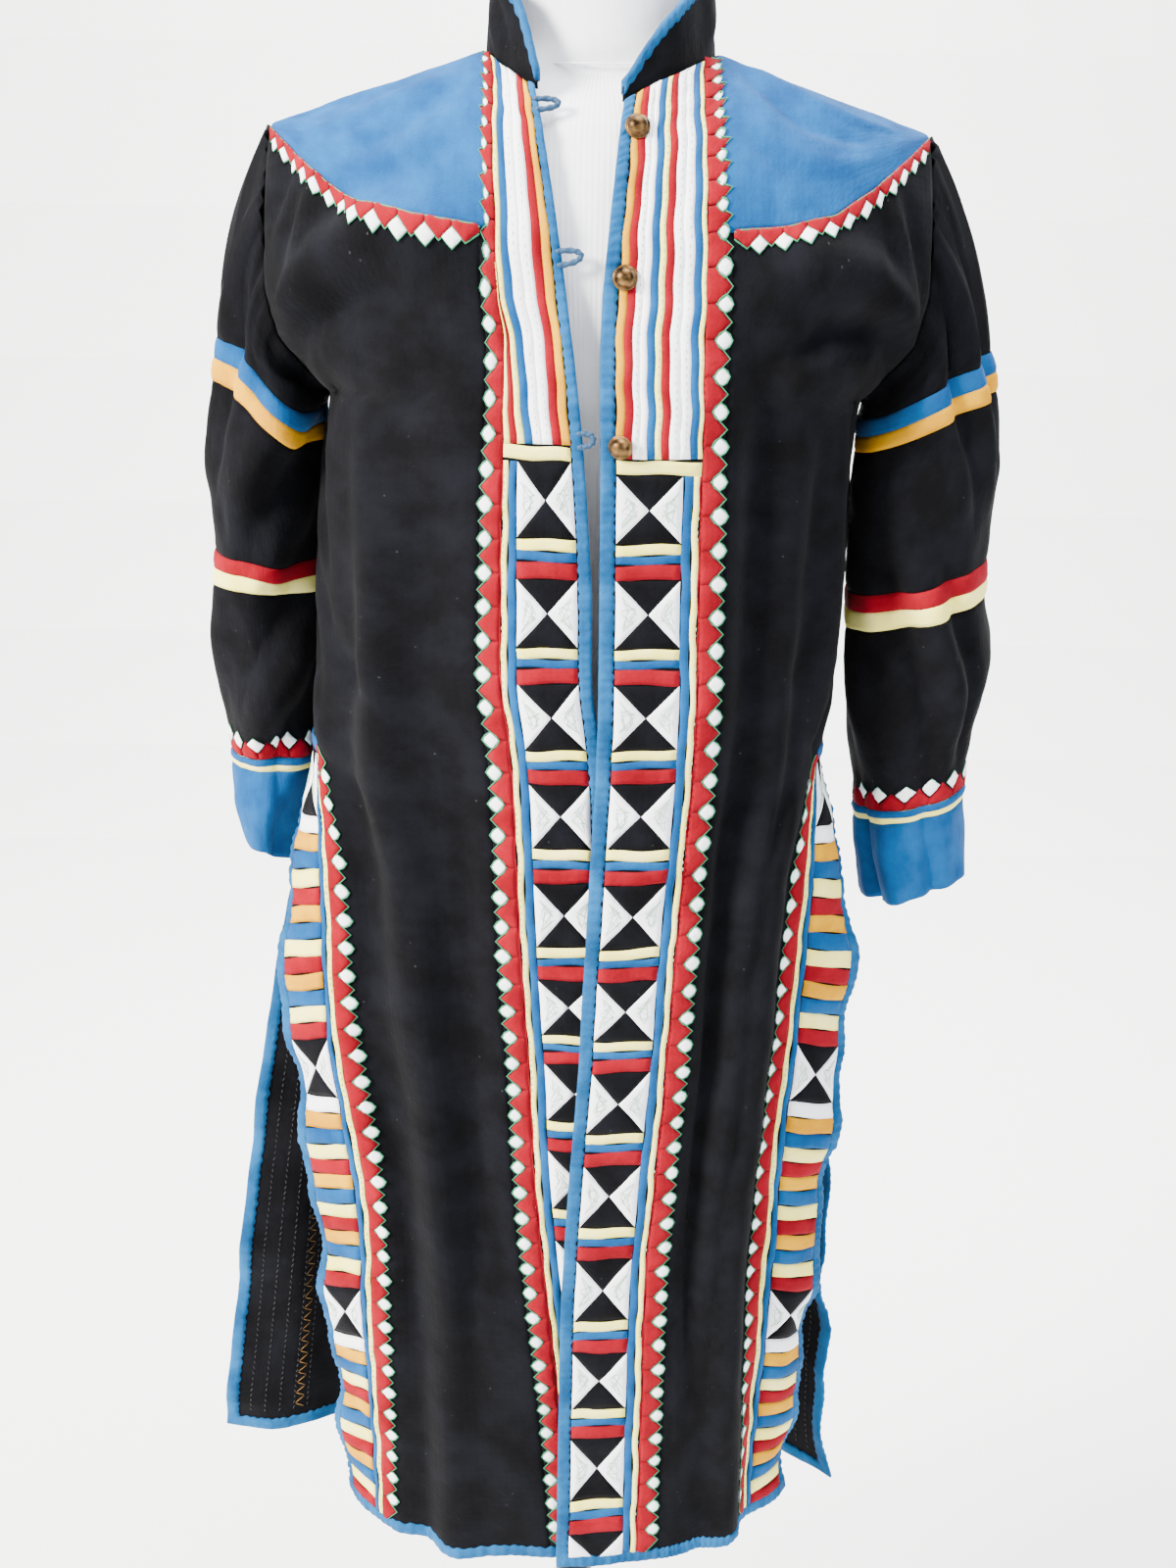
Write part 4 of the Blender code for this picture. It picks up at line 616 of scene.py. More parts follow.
def along_line(line, length):
    """The point at a running length on a section line."""
    points, lengths = line
    length = min(max(length, 0.0), lengths[-1])
    low, high = 0, len(lengths) - 1
    while high - low > 1:
        middle = (low + high) // 2
        if lengths[middle] <= length:
            low = middle
        else:
            high = middle
    amount = (length - lengths[low]) / (lengths[high] - lengths[low])
    first, second = points[low], points[high]
    return first[0] + (second[0] - first[0]) * amount, first[1] + (second[1] - first[1]) * amount


def front_length(side, across, height):
    """Running length on a front for a flat distance from its open edge."""
    total = section_line("front", side, height)[1][-1]
    band = SAW_TIP * table_value(OVERLAP, OVERLAP_COLUMNS, side + "_scale", height)
    if across <= SAW_TIP:
        return across * band / SAW_TIP
    side_start = FRONT_WIDTH - SIDE_TIP
    if across >= side_start:
        return total - (FRONT_WIDTH - across)
    return band + (total - SIDE_TIP - band) * (across - SAW_TIP) / (side_start - SAW_TIP)


def over_shoulder(face, start, end, top_height, up):
    """A point above the chest, where each upright column of the cloth is a quarter ellipse."""
    amount = (up - CHEST) / (NECK_POINT - CHEST)
    at = start + (end - start) * amount
    rise = crest_height(at) - CHEST
    top_rise = crest_height(end) - CHEST
    top_angle = math.asin(min(1.0, (top_height - CHEST) / top_rise))
    angle = amount * top_angle
    depth = section_y(face, CHEST, at) * math.cos(angle)
    return Vector((at, depth, CHEST + rise * math.sin(angle)))


def front_point(side, across, up):
    """A front's inner face at a flat distance from its edge and a nominal height."""
    sign = 1.0 if side == "left" else -1.0
    level = min(up, CHEST)
    line = section_line("front", side, level)
    at, depth = along_line(line, front_length(side, across, level))
    if up > CHEST:
        corner_x, corner_z = NECK_CORNERS[side]
        if across <= SAW_TIP:
            amount = across / SAW_TIP
            end = corner_x + (sign * NECK_HALF - corner_x) * amount
            return over_shoulder("front", at, end, corner_z + (NECK_POINT - corner_z) * amount, up)
        amount = (across - SAW_TIP) / (FRONT_WIDTH - SAW_TIP)
        end = sign * (NECK_HALF + (SHOULDER_HALF - NECK_HALF) * amount)
        return over_shoulder("front", at, end, crest_height(end), up)
    if side == "left":
        step = table_value(OVERLAP, OVERLAP_COLUMNS, "step", up)
        depth -= step * max(0.0, 1.0 - across / FRONT_WIDTH)
    return Vector((at, depth, up))


def back_point(across, up):
    """The back's inner face at a flat distance from its middle and a nominal height."""
    level = min(up, CHEST)
    line = section_line("back", "left", level)
    at, depth = along_line(line, line[1][-1] * (across + BACK_HALF) / (2.0 * BACK_HALF))
    if up > CHEST:
        sign = 1.0 if across >= 0.0 else -1.0
        if abs(across) <= BACK_NECK_HALF:
            end = NECK_HALF * across / BACK_NECK_HALF
            top = NECK_POINT - BACK_NECK_DIP * (1.0 - (end / NECK_HALF) ** 2)
            return over_shoulder("back", at, end, top, up)
        amount = (abs(across) - BACK_NECK_HALF) / (BACK_HALF - BACK_NECK_HALF)
        end = sign * (NECK_HALF + (SHOULDER_HALF - NECK_HALF) * amount)
        return over_shoulder("back", at, end, crest_height(end), up)
    return Vector((at, depth, up))


def base_point(panel, across, up):
    """A point of the unfolded drape of one panel."""
    if panel == "back":
        return back_point(across, up)
    return front_point(panel, across, up)


def fold_height(panel, across, up):
    """How far the large folds move a panel in or out at a point."""
    total = 0.0
    for row in FOLDS:
        fold = dict(zip(FOLD_COLUMNS, row))
        if fold["panel"] != panel:
            continue
        along = (fold["top"] - up) / (fold["top"] - fold["bottom"])
        middle = fold["across"] + fold["drift"] * along
        away = abs(across - middle) / fold["half_width"]
        if away >= 1.0 or up > fold["top"]:
            continue
        ends = smooth_step((fold["top"] - up) / 0.12) * smooth_step((up - fold["bottom"]) / 0.1)
        total += fold["depth"] * ends * (0.5 + 0.5 * math.cos(math.pi * away))
    return total


def up_at_height(panel, across, height):
    """The nominal height at which a column of the drape reaches a real height."""
    low, high = HEM, NECK_POINT
    for _ in range(26):
        middle = (low + high) / 2.0
        if base_point(panel, across, middle).z < height:
            low = middle
        else:
            high = middle
    return low


def yoke_up(panel, across):
    """The nominal height of the yoke's lower edge on one column."""
    distance = abs(base_point(panel, across, NECK_POINT).x)
    return up_at_height(panel, across, straight_value(YOKE_EDGE, distance))


def linear(text):
    """An sRGB hex colour as linear values for a shader."""
    parts = [int(text[at:at + 2], 16) / 255.0 for at in (1, 3, 5)]
    return [part / 12.92 if part <= 0.04045 else ((part + 0.055) / 1.055) ** 2.4
            for part in parts] + [1.0]


def add(tree, kind, settings=(), **links):
    """Add a node, set its values and link its inputs. An input name's spaces are written _."""
    node = tree.nodes.new(kind)
    for key, value in dict(settings).items():
        if hasattr(node, key):
            setattr(node, key, value)
        else:
            node.inputs[key].default_value = value
    for key, source in links.items():
        name = key.replace("_", " ")
        socket = node.inputs[int(name[1:])] if name[0] == "i" and name[1:].isdigit() \
            else node.inputs[name]
        tree.links.new(source, socket)
    return node


def started(name):
    """A material with its Principled shader and its node tree."""
    made = bpy.data.materials.new(name)
    made.use_nodes = True
    tree = made.node_tree
    return made, tree, tree.nodes["Principled BSDF"]


def cotton(name, colour, worn, sheen, blotch, lint=0.0):
    """Plain-woven cotton: soft and matte, a visible weave, and worn paler in blotches."""
    made, tree, shader = started(name)
    place = add(tree, "ShaderNodeTexCoord").outputs["UV"]
    blotches = add(tree, "ShaderNodeTexNoise", {"Scale": 28.0, "Detail": 4.0, "Roughness": 0.6},
                   Vector=place)
    fibres = add(tree, "ShaderNodeTexNoise", {"Scale": 1400.0, "Detail": 2.0}, Vector=place)
    low, high = 0.5 - 0.5 * blotch, 0.5 + 0.5 * blotch
    spread_out = add(tree, "ShaderNodeMapRange",
                     {"From Min": 0.34, "From Max": 0.66, "To Min": low - 0.2, "To Max": high},
                     Value=blotches.outputs["Fac"])
    speck = add(tree, "ShaderNodeMapRange",
                {"From Min": 0.3, "From Max": 0.7, "To Min": -0.22, "To Max": 0.22},
                Value=fibres.outputs["Fac"])
    total = add(tree, "ShaderNodeMath", {"operation": "ADD", "use_clamp": True},
                i0=spread_out.outputs["Result"], i1=speck.outputs["Result"])
    tint = add(tree, "ShaderNodeMix", {"data_type": "RGBA"}, i0=total.outputs[0])
    tint.inputs[6].default_value = linear(colour)
    tint.inputs[7].default_value = linear(worn)
    result = tint.outputs[2]
    if lint:
        dots = add(tree, "ShaderNodeTexVoronoi", {"Scale": 75.0}, Vector=place)
        near = add(tree, "ShaderNodeMapRange",
                   {"From Min": 0.0, "From Max": 0.055, "To Min": lint, "To Max": 0.0},
                   Value=dots.outputs["Distance"])
        linted = add(tree, "ShaderNodeMix", {"data_type": "RGBA"}, i0=near.outputs["Result"])
        tree.links.new(result, linted.inputs[6])
        linted.inputs[7].default_value = linear("#6d6f78")
        result = linted.outputs[2]
    tree.links.new(result, shader.inputs["Base Color"])
    # The weave is drawn 4.3 mm apart, much coarser than the real one, so that it shows.
    waves = []
    for direction in ("X", "Y"):
        waves.append(add(tree, "ShaderNodeTexWave",
                         {"bands_direction": direction, "Scale": 72.343,
                          "Distortion": 1.2, "Detail": 1.0}, Vector=place))
    weave = add(tree, "ShaderNodeMath", {"operation": "MULTIPLY"},
                i0=waves[0].outputs["Fac"], i1=waves[1].outputs["Fac"])
    crumple = add(tree, "ShaderNodeTexNoise", {"Scale": 190.0, "Detail": 3.0}, Vector=place)
    fine = add(tree, "ShaderNodeBump", {"Strength": 0.35, "Distance": 0.00022},
               Height=weave.outputs[0])
    soft = add(tree, "ShaderNodeBump", {"Strength": 0.45, "Distance": 0.0009},
               Height=crumple.outputs["Fac"], Normal=fine.outputs["Normal"])
    tree.links.new(soft.outputs["Normal"], shader.inputs["Normal"])
    shader.inputs["Roughness"].default_value = 0.92
    shader.inputs["Specular IOR Level"].default_value = 0.09
    shader.inputs["Sheen Weight"].default_value = sheen
    shader.inputs["Sheen Roughness"].default_value = 0.55
    return made


def finish(name, coords, tones, relief, colours, depth, settings, spread=None, rough=None):
    """A finish whose colour runs between two by one texture, with another one in relief.

    A spread sharpens the change of colour, and rough lets the gloss vary by the same texture."""
    made, tree, shader = started(name)
    place = add(tree, "ShaderNodeTexCoord").outputs[coords]
    shades = add(tree, *tones, Vector=place)
    share = shades.outputs["Fac"]
    if spread:
        share = add(tree, "ShaderNodeMapRange", {"From Min": spread[0], "From Max": spread[1]},
                    Value=share).outputs["Result"]
    tint = add(tree, "ShaderNodeMix", {"data_type": "RGBA"}, i0=share)
    tint.inputs[6].default_value, tint.inputs[7].default_value = colours
    if rough:
        gloss = add(tree, "ShaderNodeMapRange", {"To Min": rough[0], "To Max": rough[1]},
                    Value=shades.outputs["Fac"])
        tree.links.new(gloss.outputs["Result"], shader.inputs["Roughness"])
    tree.links.new(tint.outputs[2], shader.inputs["Base Color"])
    raised_by = add(tree, *relief, Vector=place)
    bump = add(tree, "ShaderNodeBump", {"Strength": depth[0], "Distance": depth[1]},
               Height=raised_by.outputs["Fac"])
    tree.links.new(bump.outputs["Normal"], shader.inputs["Normal"])
    for key, value in settings.items():
        shader.inputs[key].default_value = value
    return made


def thread(name, text):
    """Mercerised sewing thread or cord: a slight gloss on twisted strands, with painted shading in
    darker bands along the twist.
    """
    strands = ("ShaderNodeTexWave", {"Scale": 900.0, "bands_direction": "DIAGONAL"})
    colour = linear(text)
    # The same colour at seven tenths, laid in bands along the twist, is painted shading between the
    # strands.
    painted_groove_shade = [part * 0.7 for part in colour[:3]] + [1.0]
    return finish(name, "Object", strands, strands, (colour, painted_groove_shade), (0.4, 0.0002),
                  {"Roughness": 0.6})


COTTONS = {
    "washed black": cotton("washed black cotton", "#010103", "#0b0c12", lint=0.25, blotch=0.8,
                           sheen=0.012),
    "mid blue": cotton("mid blue cotton", "#043c6e", "#0e568e", blotch=0.6, sheen=0.03),
    "binding blue": cotton("blue bias binding", "#083f6a", "#1a5f92", blotch=0.8, sheen=0.03),
    "red": cotton("red cotton", "#700010", "#8e061d", blotch=0.7, sheen=0.012),
    "gold": cotton("gold cotton", "#bc8000", "#dca200", blotch=0.7, sheen=0.012),
    "pale cream": cotton("pale cream cotton", "#f0e468", "#faf2a0", blotch=0.6, sheen=0.012),
    "white": cotton("white cotton", "#f4f7ff", "#ffffff", blotch=0.6, sheen=0.012),
}
COTTON_NAMES = list(COTTONS)
GREEN_THREAD = thread("green sewing thread", "#178055")
PALE_THREAD = thread("pale green sewing thread", "#a8cdb4")
GOLD_THREAD = thread("gold sewing thread", "#8a6420")
BLUE_THREAD = thread("blue cord", "#0f3f63")
BLACK_THREAD = thread("black sewing thread", "#15161b")

# Stamped brass gone brown: dark in the hollows and rubbed bright on the high places.
BRASS = finish("aged stamped brass", "Object",
               ("ShaderNodeTexNoise", {"Scale": 160.0, "Detail": 4.0}),
               ("ShaderNodeTexNoise", {"Scale": 1500.0, "Detail": 2.0}),
               (linear("#2a1e14"), linear("#80613c")), (0.3, 0.0002),
               {"Metallic": 1.0}, (0.36, 0.66), (0.28, 0.55))
# White cotton jersey stretched over padding: matte, with fine knitted ribs.
JERSEY = finish("white cotton jersey", "UV",
                ("ShaderNodeTexNoise", {"Scale": 60.0, "Detail": 4.0}),
                ("ShaderNodeTexWave", {"bands_direction": "X", "Scale": 120.0, "Distortion": 0.6,
                                       "Detail": 1.0}),
                (linear("#e6e8ee"), linear("#f6f8fc")), (0.35, 0.0004),
                {"Roughness": 0.95, "Sheen Weight": 0.3})
# Powder-coated steel: near black, satin, with a faint orange peel.
STEEL = finish("powder-coated steel", "Object",
               ("ShaderNodeTexNoise", {"Scale": 9.0, "Detail": 5.0}),
               ("ShaderNodeTexNoise", {"Scale": 700.0, "Detail": 2.0}),
               (linear("#171310"), linear("#2a241f")), (0.2, 0.0002),
               {"Roughness": 0.42, "Metallic": 0.3})


def crease_field(creases, across, up):
    """How far a list of creases moves the cloth at arrays of places."""
    total = np.zeros_like(across)
    for depth, half_width, points in creases:
        near = np.full(across.shape, 9.0)
        along = np.zeros_like(across)
        count = len(points) - 1
        for index, (start, end) in enumerate(zip(points, points[1:])):
            step_x, step_y = end[0] - start[0], end[1] - start[1]
            length = step_x * step_x + step_y * step_y
            share = ((across - start[0]) * step_x + (up - start[1]) * step_y) / length
            share = np.clip(share, 0.0, 1.0)
            away = np.hypot(across - start[0] - step_x * share, up - start[1] - step_y * share)
            closer = away < near
            near = np.where(closer, away, near)
            along = np.where(closer, (index + share) / count, along)
        width = half_width * (0.75 + 0.25 * np.sin(np.pi * along))
        shape = np.cos(np.clip(near / width, 0.0, 1.0) * np.pi) * 0.5 + 0.5
        total += depth * shape * np.sin(np.pi * np.clip(along * 0.86 + 0.07, 0.0, 1.0)) ** 0.8
    return total


def crumple_field(across, up, size, height, seed):
    """Soft uneven crumpling of washed cloth, size being the usual distance between bumps."""
    total = np.zeros_like(across)
    flat_a, flat_u, out = across.ravel(), up.ravel(), total.ravel()
    for index in range(len(out)):
        place = Vector((flat_a[index] / size, flat_u[index] / size * 0.6, seed))
        out[index] = noise.noise(place) + 0.5 * noise.noise(place * 2.1)
    return out.reshape(across.shape) * height


class Drape:
    """A surface that flat pieces are laid on, kept as a fine grid of points."""

    uv_scale = (1.0, 1.0)

    def __init__(self, across, up, points, outward):
        self.across, self.up = np.array(across), np.array(up)
        self.points = points
        sideways = np.gradient(points, axis=1)
        upwards = np.gradient(points, axis=0)
        normals = np.cross(sideways, upwards)
        normals /= np.maximum(np.linalg.norm(normals, axis=2, keepdims=True), 1e-12)
        facing = (normals * outward).sum(axis=2)
        self.turned = facing.mean() < 0.0
        self.normals = -normals if self.turned else normals

    def moved(self, heights):
        """The same drape with its points moved out by an array of heights."""
        return Drape(self.across, self.up, self.points + self.normals * heights[..., None],
                     self.normals)

    def places(self, across, up, lift):
        """Points of the surface at arrays of flat places."""
        column = np.clip(np.searchsorted(self.across, across) - 1, 0, len(self.across) - 2)
        row = np.clip(np.searchsorted(self.up, up) - 1, 0, len(self.up) - 2)
        s = ((across - self.across[column]) / (self.across[column + 1] - self.across[column]))
        t = ((up - self.up[row]) / (self.up[row + 1] - self.up[row]))
        s, t = s[:, None], t[:, None]

        def mixed(grid):
            low = grid[row, column] * (1.0 - s) + grid[row, column + 1] * s
            high = grid[row + 1, column] * (1.0 - s) + grid[row + 1, column + 1] * s
            return low * (1.0 - t) + high * t

        normals = mixed(self.normals)
        normals /= np.maximum(np.linalg.norm(normals, axis=1, keepdims=True), 1e-12)
        return mixed(self.points) + normals * lift[:, None]

    def lay(self, mesh):
        """Lay a flat mesh on the surface, keeping its flat places as its UV map in metres."""
        layer = mesh.loops.layers.uv.verify()
        for face in mesh.faces:
            for corner in face.loops:
                flat_x, flat_y = corner.vert.co.xy
                corner[layer].uv = flat_x * self.uv_scale[0], flat_y * self.uv_scale[1]
        flat = np.array([vert.co for vert in mesh.verts])
        placed = self.places(flat[:, 0], flat[:, 1], flat[:, 2])
        for vert, place in zip(mesh.verts, placed):
            vert.co = place
        if self.turned:
            bmesh.ops.reverse_faces(mesh, faces=mesh.faces)


def steps(start, end, size):
    """Evenly spaced values from start to end, about size apart."""
    return np.linspace(start, end, max(2, int(round(abs(end - start) / size)) + 1))


def panel_drape(panel):
    """The drape of a front or the back with its folds, creases and crumples."""
    across = steps(-BACK_HALF if panel == "back" else 0.0,
                   BACK_HALF if panel == "back" else FRONT_WIDTH, 0.004)
    up = np.concatenate([steps(HEM - 0.004, CHEST, 0.005), steps(CHEST, NECK_POINT, 0.0028)[1:]])
    points = np.array([[base_point(panel, float(a), max(float(u), HEM - 0.004))
                        for a in across] for u in up])
    drape = Drape(across, up, points, (0.0, 1.0 if panel == "back" else -1.0, 0.0))
    grid_a, grid_u = np.meshgrid(across, up)
    heights = np.array([[fold_height(panel, float(a), float(u)) for a in across] for u in up])
    heights += CREASE_SCALE["panel"] * crease_field(CREASES[panel], grid_a, grid_u)
    seed = {"right": 3.1, "left": 7.7, "back": 12.4}[panel]
    crumple = crumple_field(grid_a, grid_u, 0.055, 0.0032, seed)
    crumple += crumple_field(grid_a, grid_u, 0.022, 0.0013, seed + 5.0)
    edge = FRONT_WIDTH - np.abs(grid_a)
    heights += crumple * np.clip(edge / 0.03, 0.15, 1.0)
    # The stitched bands ripple in short waves along their length.
    band = np.clip(1.0 - grid_a / 0.085, 0.0, 1.0) if panel != "back" else 0.0 * grid_a
    beside = np.clip(1.0 - edge / 0.065, 0.0, 1.0) * (grid_u < SLIT_TOP)
    ripple = np.sin(grid_u * 2.0 * np.pi / 0.026 + 3.0 * np.sin(grid_u * 37.0) + grid_a * 60.0)
    heights += 0.0005 * ripple * np.minimum(band + beside, 1.0) ** 0.5
    # Wavy free edges below the slits' tops.
    swing = np.sin(grid_u * 2.0 * np.pi / 0.115 + seed) + 0.6 * np.sin(grid_u * 2.0 * np.pi / 0.061)
    free = np.clip(1.0 - edge / 0.05, 0.0, 1.0) ** 1.5 * np.clip((0.93 - grid_u) / 0.1, 0.0, 1.0)
    heights += 0.0034 * swing * free
    return drape.moved(heights)


def yoke_drape(side, drapes):
    """The drape over one shoulder: across as on the front, up from the front edge to the back.

    Beside the band and along its lower edges the yoke lies on the panels' own drapes."""
    across = steps(SAW_VALLEY - 0.002, FRONT_WIDTH, 0.0035)
    turns = np.linspace(-1.0, 1.0, 91)
    rows = []
    lows = {}
    for a in across:
        behind = back_across(float(a)) * (1.0 if side == "left" else -1.0)
        lows[float(a)] = (yoke_up(side, float(a)), behind, yoke_up("back", behind))
    for turn in turns:
        row = []
        for a in across:
            front_low, behind, back_low = lows[float(a)]
            if turn < 0.0:
                row.append(base_point(side, float(a), NECK_POINT + (NECK_POINT - front_low) * turn))
            else:
                row.append(base_point("back", behind, NECK_POINT - (NECK_POINT - back_low) * turn))
        rows.append(row)
    grid_a, grid_t = np.meshgrid(across, turns)
    points = np.array(rows)
    inner = np.clip(1.0 - (grid_a - SAW_TIP) / 0.03, 0.0, 1.0) * np.clip(-grid_t / 0.15, 0.0, 1.0)
    lying = np.maximum(inner, np.clip(1.0 - (1.0 - np.abs(grid_t)) / 0.35, 0.0, 1.0))
    lying = lying * lying * (3.0 - 2.0 * lying)
    for row, turn in enumerate(turns):
        front_ups = [NECK_POINT - (NECK_POINT - lows[float(a)][0]) * abs(turn) for a in across]
        back_ups = [NECK_POINT - (NECK_POINT - lows[float(a)][2]) * abs(turn) for a in across]
        flat = np.zeros(len(across))
        if turn < 0.0:
            under = drapes[side].places(across, np.array(front_ups), flat)
        else:
            behind = np.array([lows[float(a)][1] for a in across])
            under = drapes["back"].places(behind, np.array(back_ups), flat)
        points[row] += (under - points[row]) * lying[row][:, None]
    drape = Drape(across, turns, points, (0.0, 0.0, 1.0))
    share = (grid_a - SAW_TIP) / (FRONT_WIDTH - SAW_TIP)
    heights = CREASE_SCALE["yoke"] * crease_field(YOKE_CREASES[side], share, (grid_t + 1.0) / 2.0)
    heights += crumple_field(grid_a, grid_t * 0.12, 0.03, 0.0008, 21.0 if side == "left" else 24.0)
    heights += 0.0008
    return drape.moved(heights * (1.0 - 0.85 * lying))


def back_across(across):
    """Where the back has the column that meets a front's column on the shoulder."""
    share = (across - SAW_TIP) / (FRONT_WIDTH - SAW_TIP)
    return BACK_NECK_HALF + (BACK_HALF - BACK_NECK_HALF) * share


def back_yoke_drape():
    """The middle of the yoke below the back of the collar."""
    across = steps(-BACK_NECK_HALF, BACK_NECK_HALF, 0.005)
    shares = np.linspace(0.0, 1.0, 31)
    rows = []
    for share in shares:
        row = []
        for a in across:
            low = yoke_up("back", float(a))
            row.append(base_point("back", float(a), low + (NECK_POINT - low) * float(share)))
        rows.append(row)
    drape = Drape(across, shares, np.array(rows), (0.0, 1.0, 0.0))
    grid_a, grid_s = np.meshgrid(across, shares)
    return drape.moved(0.0008 + crumple_field(grid_a, grid_s * 0.11, 0.03, 0.0008, 31.0))


def armhole_point(side, turn):
    """A point of the armhole for an angle round the sleeve, from under the arm over the front."""
    sign = 1.0 if side == "left" else -1.0
    top = crest_height(SHOULDER_HALF)
    angle = turn if turn <= math.pi else math.tau - turn
    unturned = angle
    for _ in range(30):
        unturned -= (unturned + SLEEVE_TURN * math.sin(unturned) - angle) / \
            (1.0 + SLEEVE_TURN * math.cos(unturned))
    height = UNDERARM + (top - UNDERARM) * (1.0 - math.cos(unturned)) / 2.0
    if turn <= math.pi:
        panel, across = side, FRONT_WIDTH
    else:
        panel, across = "back", sign * BACK_HALF
    low, high = UNDERARM, NECK_POINT
    for _ in range(24):
        middle = (low + high) / 2.0
        if base_point(panel, across, middle).z < height:
            low = middle
        else:
            high = middle
    return base_point(panel, across, low) + Vector((sign * 0.0008, 0.0, 0.0))


def sleeve_drape(side):
    """The drape of a sleeve, with the distance of each table ring down the sleeve."""
    sign, table = (1.0, LEFT_SLEEVE) if side == "left" else (-1.0, RIGHT_SLEEVE)
    turns = np.linspace(0.0, 1.0, 97)
    angles = turns * math.tau
    rings = [[armhole_point(side, float(angle)) for angle in angles]]
    under = []
    for row in table:
        ring = dict(zip(SLEEVE_COLUMNS, row))
        outer = Vector((ring["outer_x"], ring["mid_y"], ring["outer_z"]))
        inner = Vector((ring["inner_x"], ring["mid_y"], ring["inner_z"]))
        middle, arm = (outer + inner) / 2.0, (inner - outer) / 2.0
        depth = Vector((0.0, -ring["half_depth"], 0.0))
        under.append([middle + arm * math.cos(angle) + depth * math.sin(angle)
                      for angle in angles])
    for share, puff, below in SLEEVE_FAN:
        ring = []
        for angle, start, end in zip(angles, rings[0], under[0]):
            shoulder = (1.0 - math.cos(angle)) / 2.0
            out = puff * shoulder + below * (1.0 - shoulder)
            ring.append(start.lerp(end, share) + Vector((sign * out, 0.0, 0.0)))
        rings.append(ring)
    rings += under
    middles = [sum(ring[:-1], Vector()) / (len(ring) - 1) for ring in rings]
    lengths = running_lengths(middles)
    grid = np.array(rings)
    fine = steps(0.0, lengths[-1], 0.004)
    smooth = np.zeros((len(fine), len(angles), 3))
    slopes = np.gradient(grid, np.array(lengths), axis=0)
    for index, at in enumerate(fine):
        low = min(max(int(np.searchsorted(lengths, at)) - 1, 0), len(lengths) - 2)
        gap = lengths[low + 1] - lengths[low]
        t = (at - lengths[low]) / gap
        smooth[index] = (grid[low] * (1 + 2 * t) * (1 - t) ** 2
                         + slopes[low] * gap * t * (1 - t) ** 2
                         + grid[low + 1] * t * t * (3 - 2 * t)
                         + slopes[low + 1] * gap * t * t * (t - 1))
    centres = smooth[:, :-1].mean(axis=1, keepdims=True)
    drape = Drape(turns, fine, smooth, smooth - centres)
    grid_t, grid_l = np.meshgrid(turns, fine)
    heights = CREASE_SCALE["sleeve"] * crease_field(SLEEVE_CREASES[side], grid_t, grid_l)
    # Small gathers run from the shoulder end of the armhole and fade out down the sleeve.
    head = np.clip(1.0 - np.abs(grid_t - 0.5) / 0.3, 0.0, 1.0) ** 0.6
    gathers = np.cos(grid_t * 2.0 * np.pi * 34.0 + 2.0 * np.sin(grid_t * 31.0))
    heights += 0.0026 * gathers * head * np.clip(1.0 - grid_l / 0.095, 0.0, 1.0) ** 1.2
    around = np.stack([np.cos(grid_t * 2 * np.pi), np.sin(grid_t * 2 * np.pi)])
    crumple = np.zeros_like(grid_t)
    flat = crumple.ravel()
    cos_t, sin_t, flat_l = around[0].ravel(), around[1].ravel(), grid_l.ravel()
    seed = 41.0 if side == "left" else 47.0
    for index in range(len(flat)):
        place = Vector((cos_t[index] * 1.3, sin_t[index] * 1.3, flat_l[index] / 0.045 + seed))
        flat[index] = noise.noise(place) + 0.5 * noise.noise(place * 2.2)
    heights += crumple * 0.003 * np.clip(grid_l / 0.05, 0.1, 1.0)
    return drape.moved(heights), lengths


def laid_grid(mesh, cells, place, colour=None):
    """Add a grid of cells, each corner put where place(s, t) says."""
    corners = bmesh.ops.create_grid(mesh, x_segments=cells[0], y_segments=cells[1], size=0.5)["verts"]
    for vert in corners:
        vert.co = place(vert.co.x + 0.5, vert.co.y + 0.5)
    if colour is not None:
        for face in {face for vert in corners for face in vert.link_faces}:
            face.material_index = COTTON_NAMES.index(colour)
    return corners


def grid_piece(mesh, across, up, step, height=lambda a, u: 0.0):
    """Add an evenly divided rectangle, lying at a height that may vary over it."""
    cells = [max(1, int(round((ends[1] - ends[0]) / size)))
             for ends, size in zip((across, up), step)]

    def place(s, t):
        a, u = across[0] + (across[1] - across[0]) * s, up[0] + (up[1] - up[0]) * t
        return a, u, height(a, u)

    return laid_grid(mesh, cells, place)


def stitch(mesh, start, end, lift, thick=0.00035):
    """Add one stitch of thread between two flat places."""
    start, end = Vector((*start, lift)), Vector((*end, lift))
    along = end - start
    turn = Matrix.Rotation(math.atan2(along.y, along.x), 4, "Z")
    size = Matrix.Diagonal((along.length / 2.0, thick, thick, 1.0))
    bmesh.ops.create_icosphere(mesh, subdivisions=1, radius=1.0,
                               matrix=Matrix.Translation((start + end) / 2.0) @ turn @ size)


def stitch_line(mesh, start, end, lift, length=0.0026, gap=0.0016, wobble=0.0003):
    """Add a running stitch along a straight flat line."""
    start, end = Vector(start), Vector(end)
    total = (end - start).length
    count = max(1, int(total / (length + gap)))
    along = (end - start) / total
    side = Vector((-along.y, along.x))
    for number in range(count):
        at = total * (number + 0.5) / count
        shift = side * wobble * math.sin(number * 2.3 + start.x * 900.0)
        middle = start + along * at + shift
        stitch(mesh, middle - along * length / 2.0, middle + along * length / 2.0, lift)


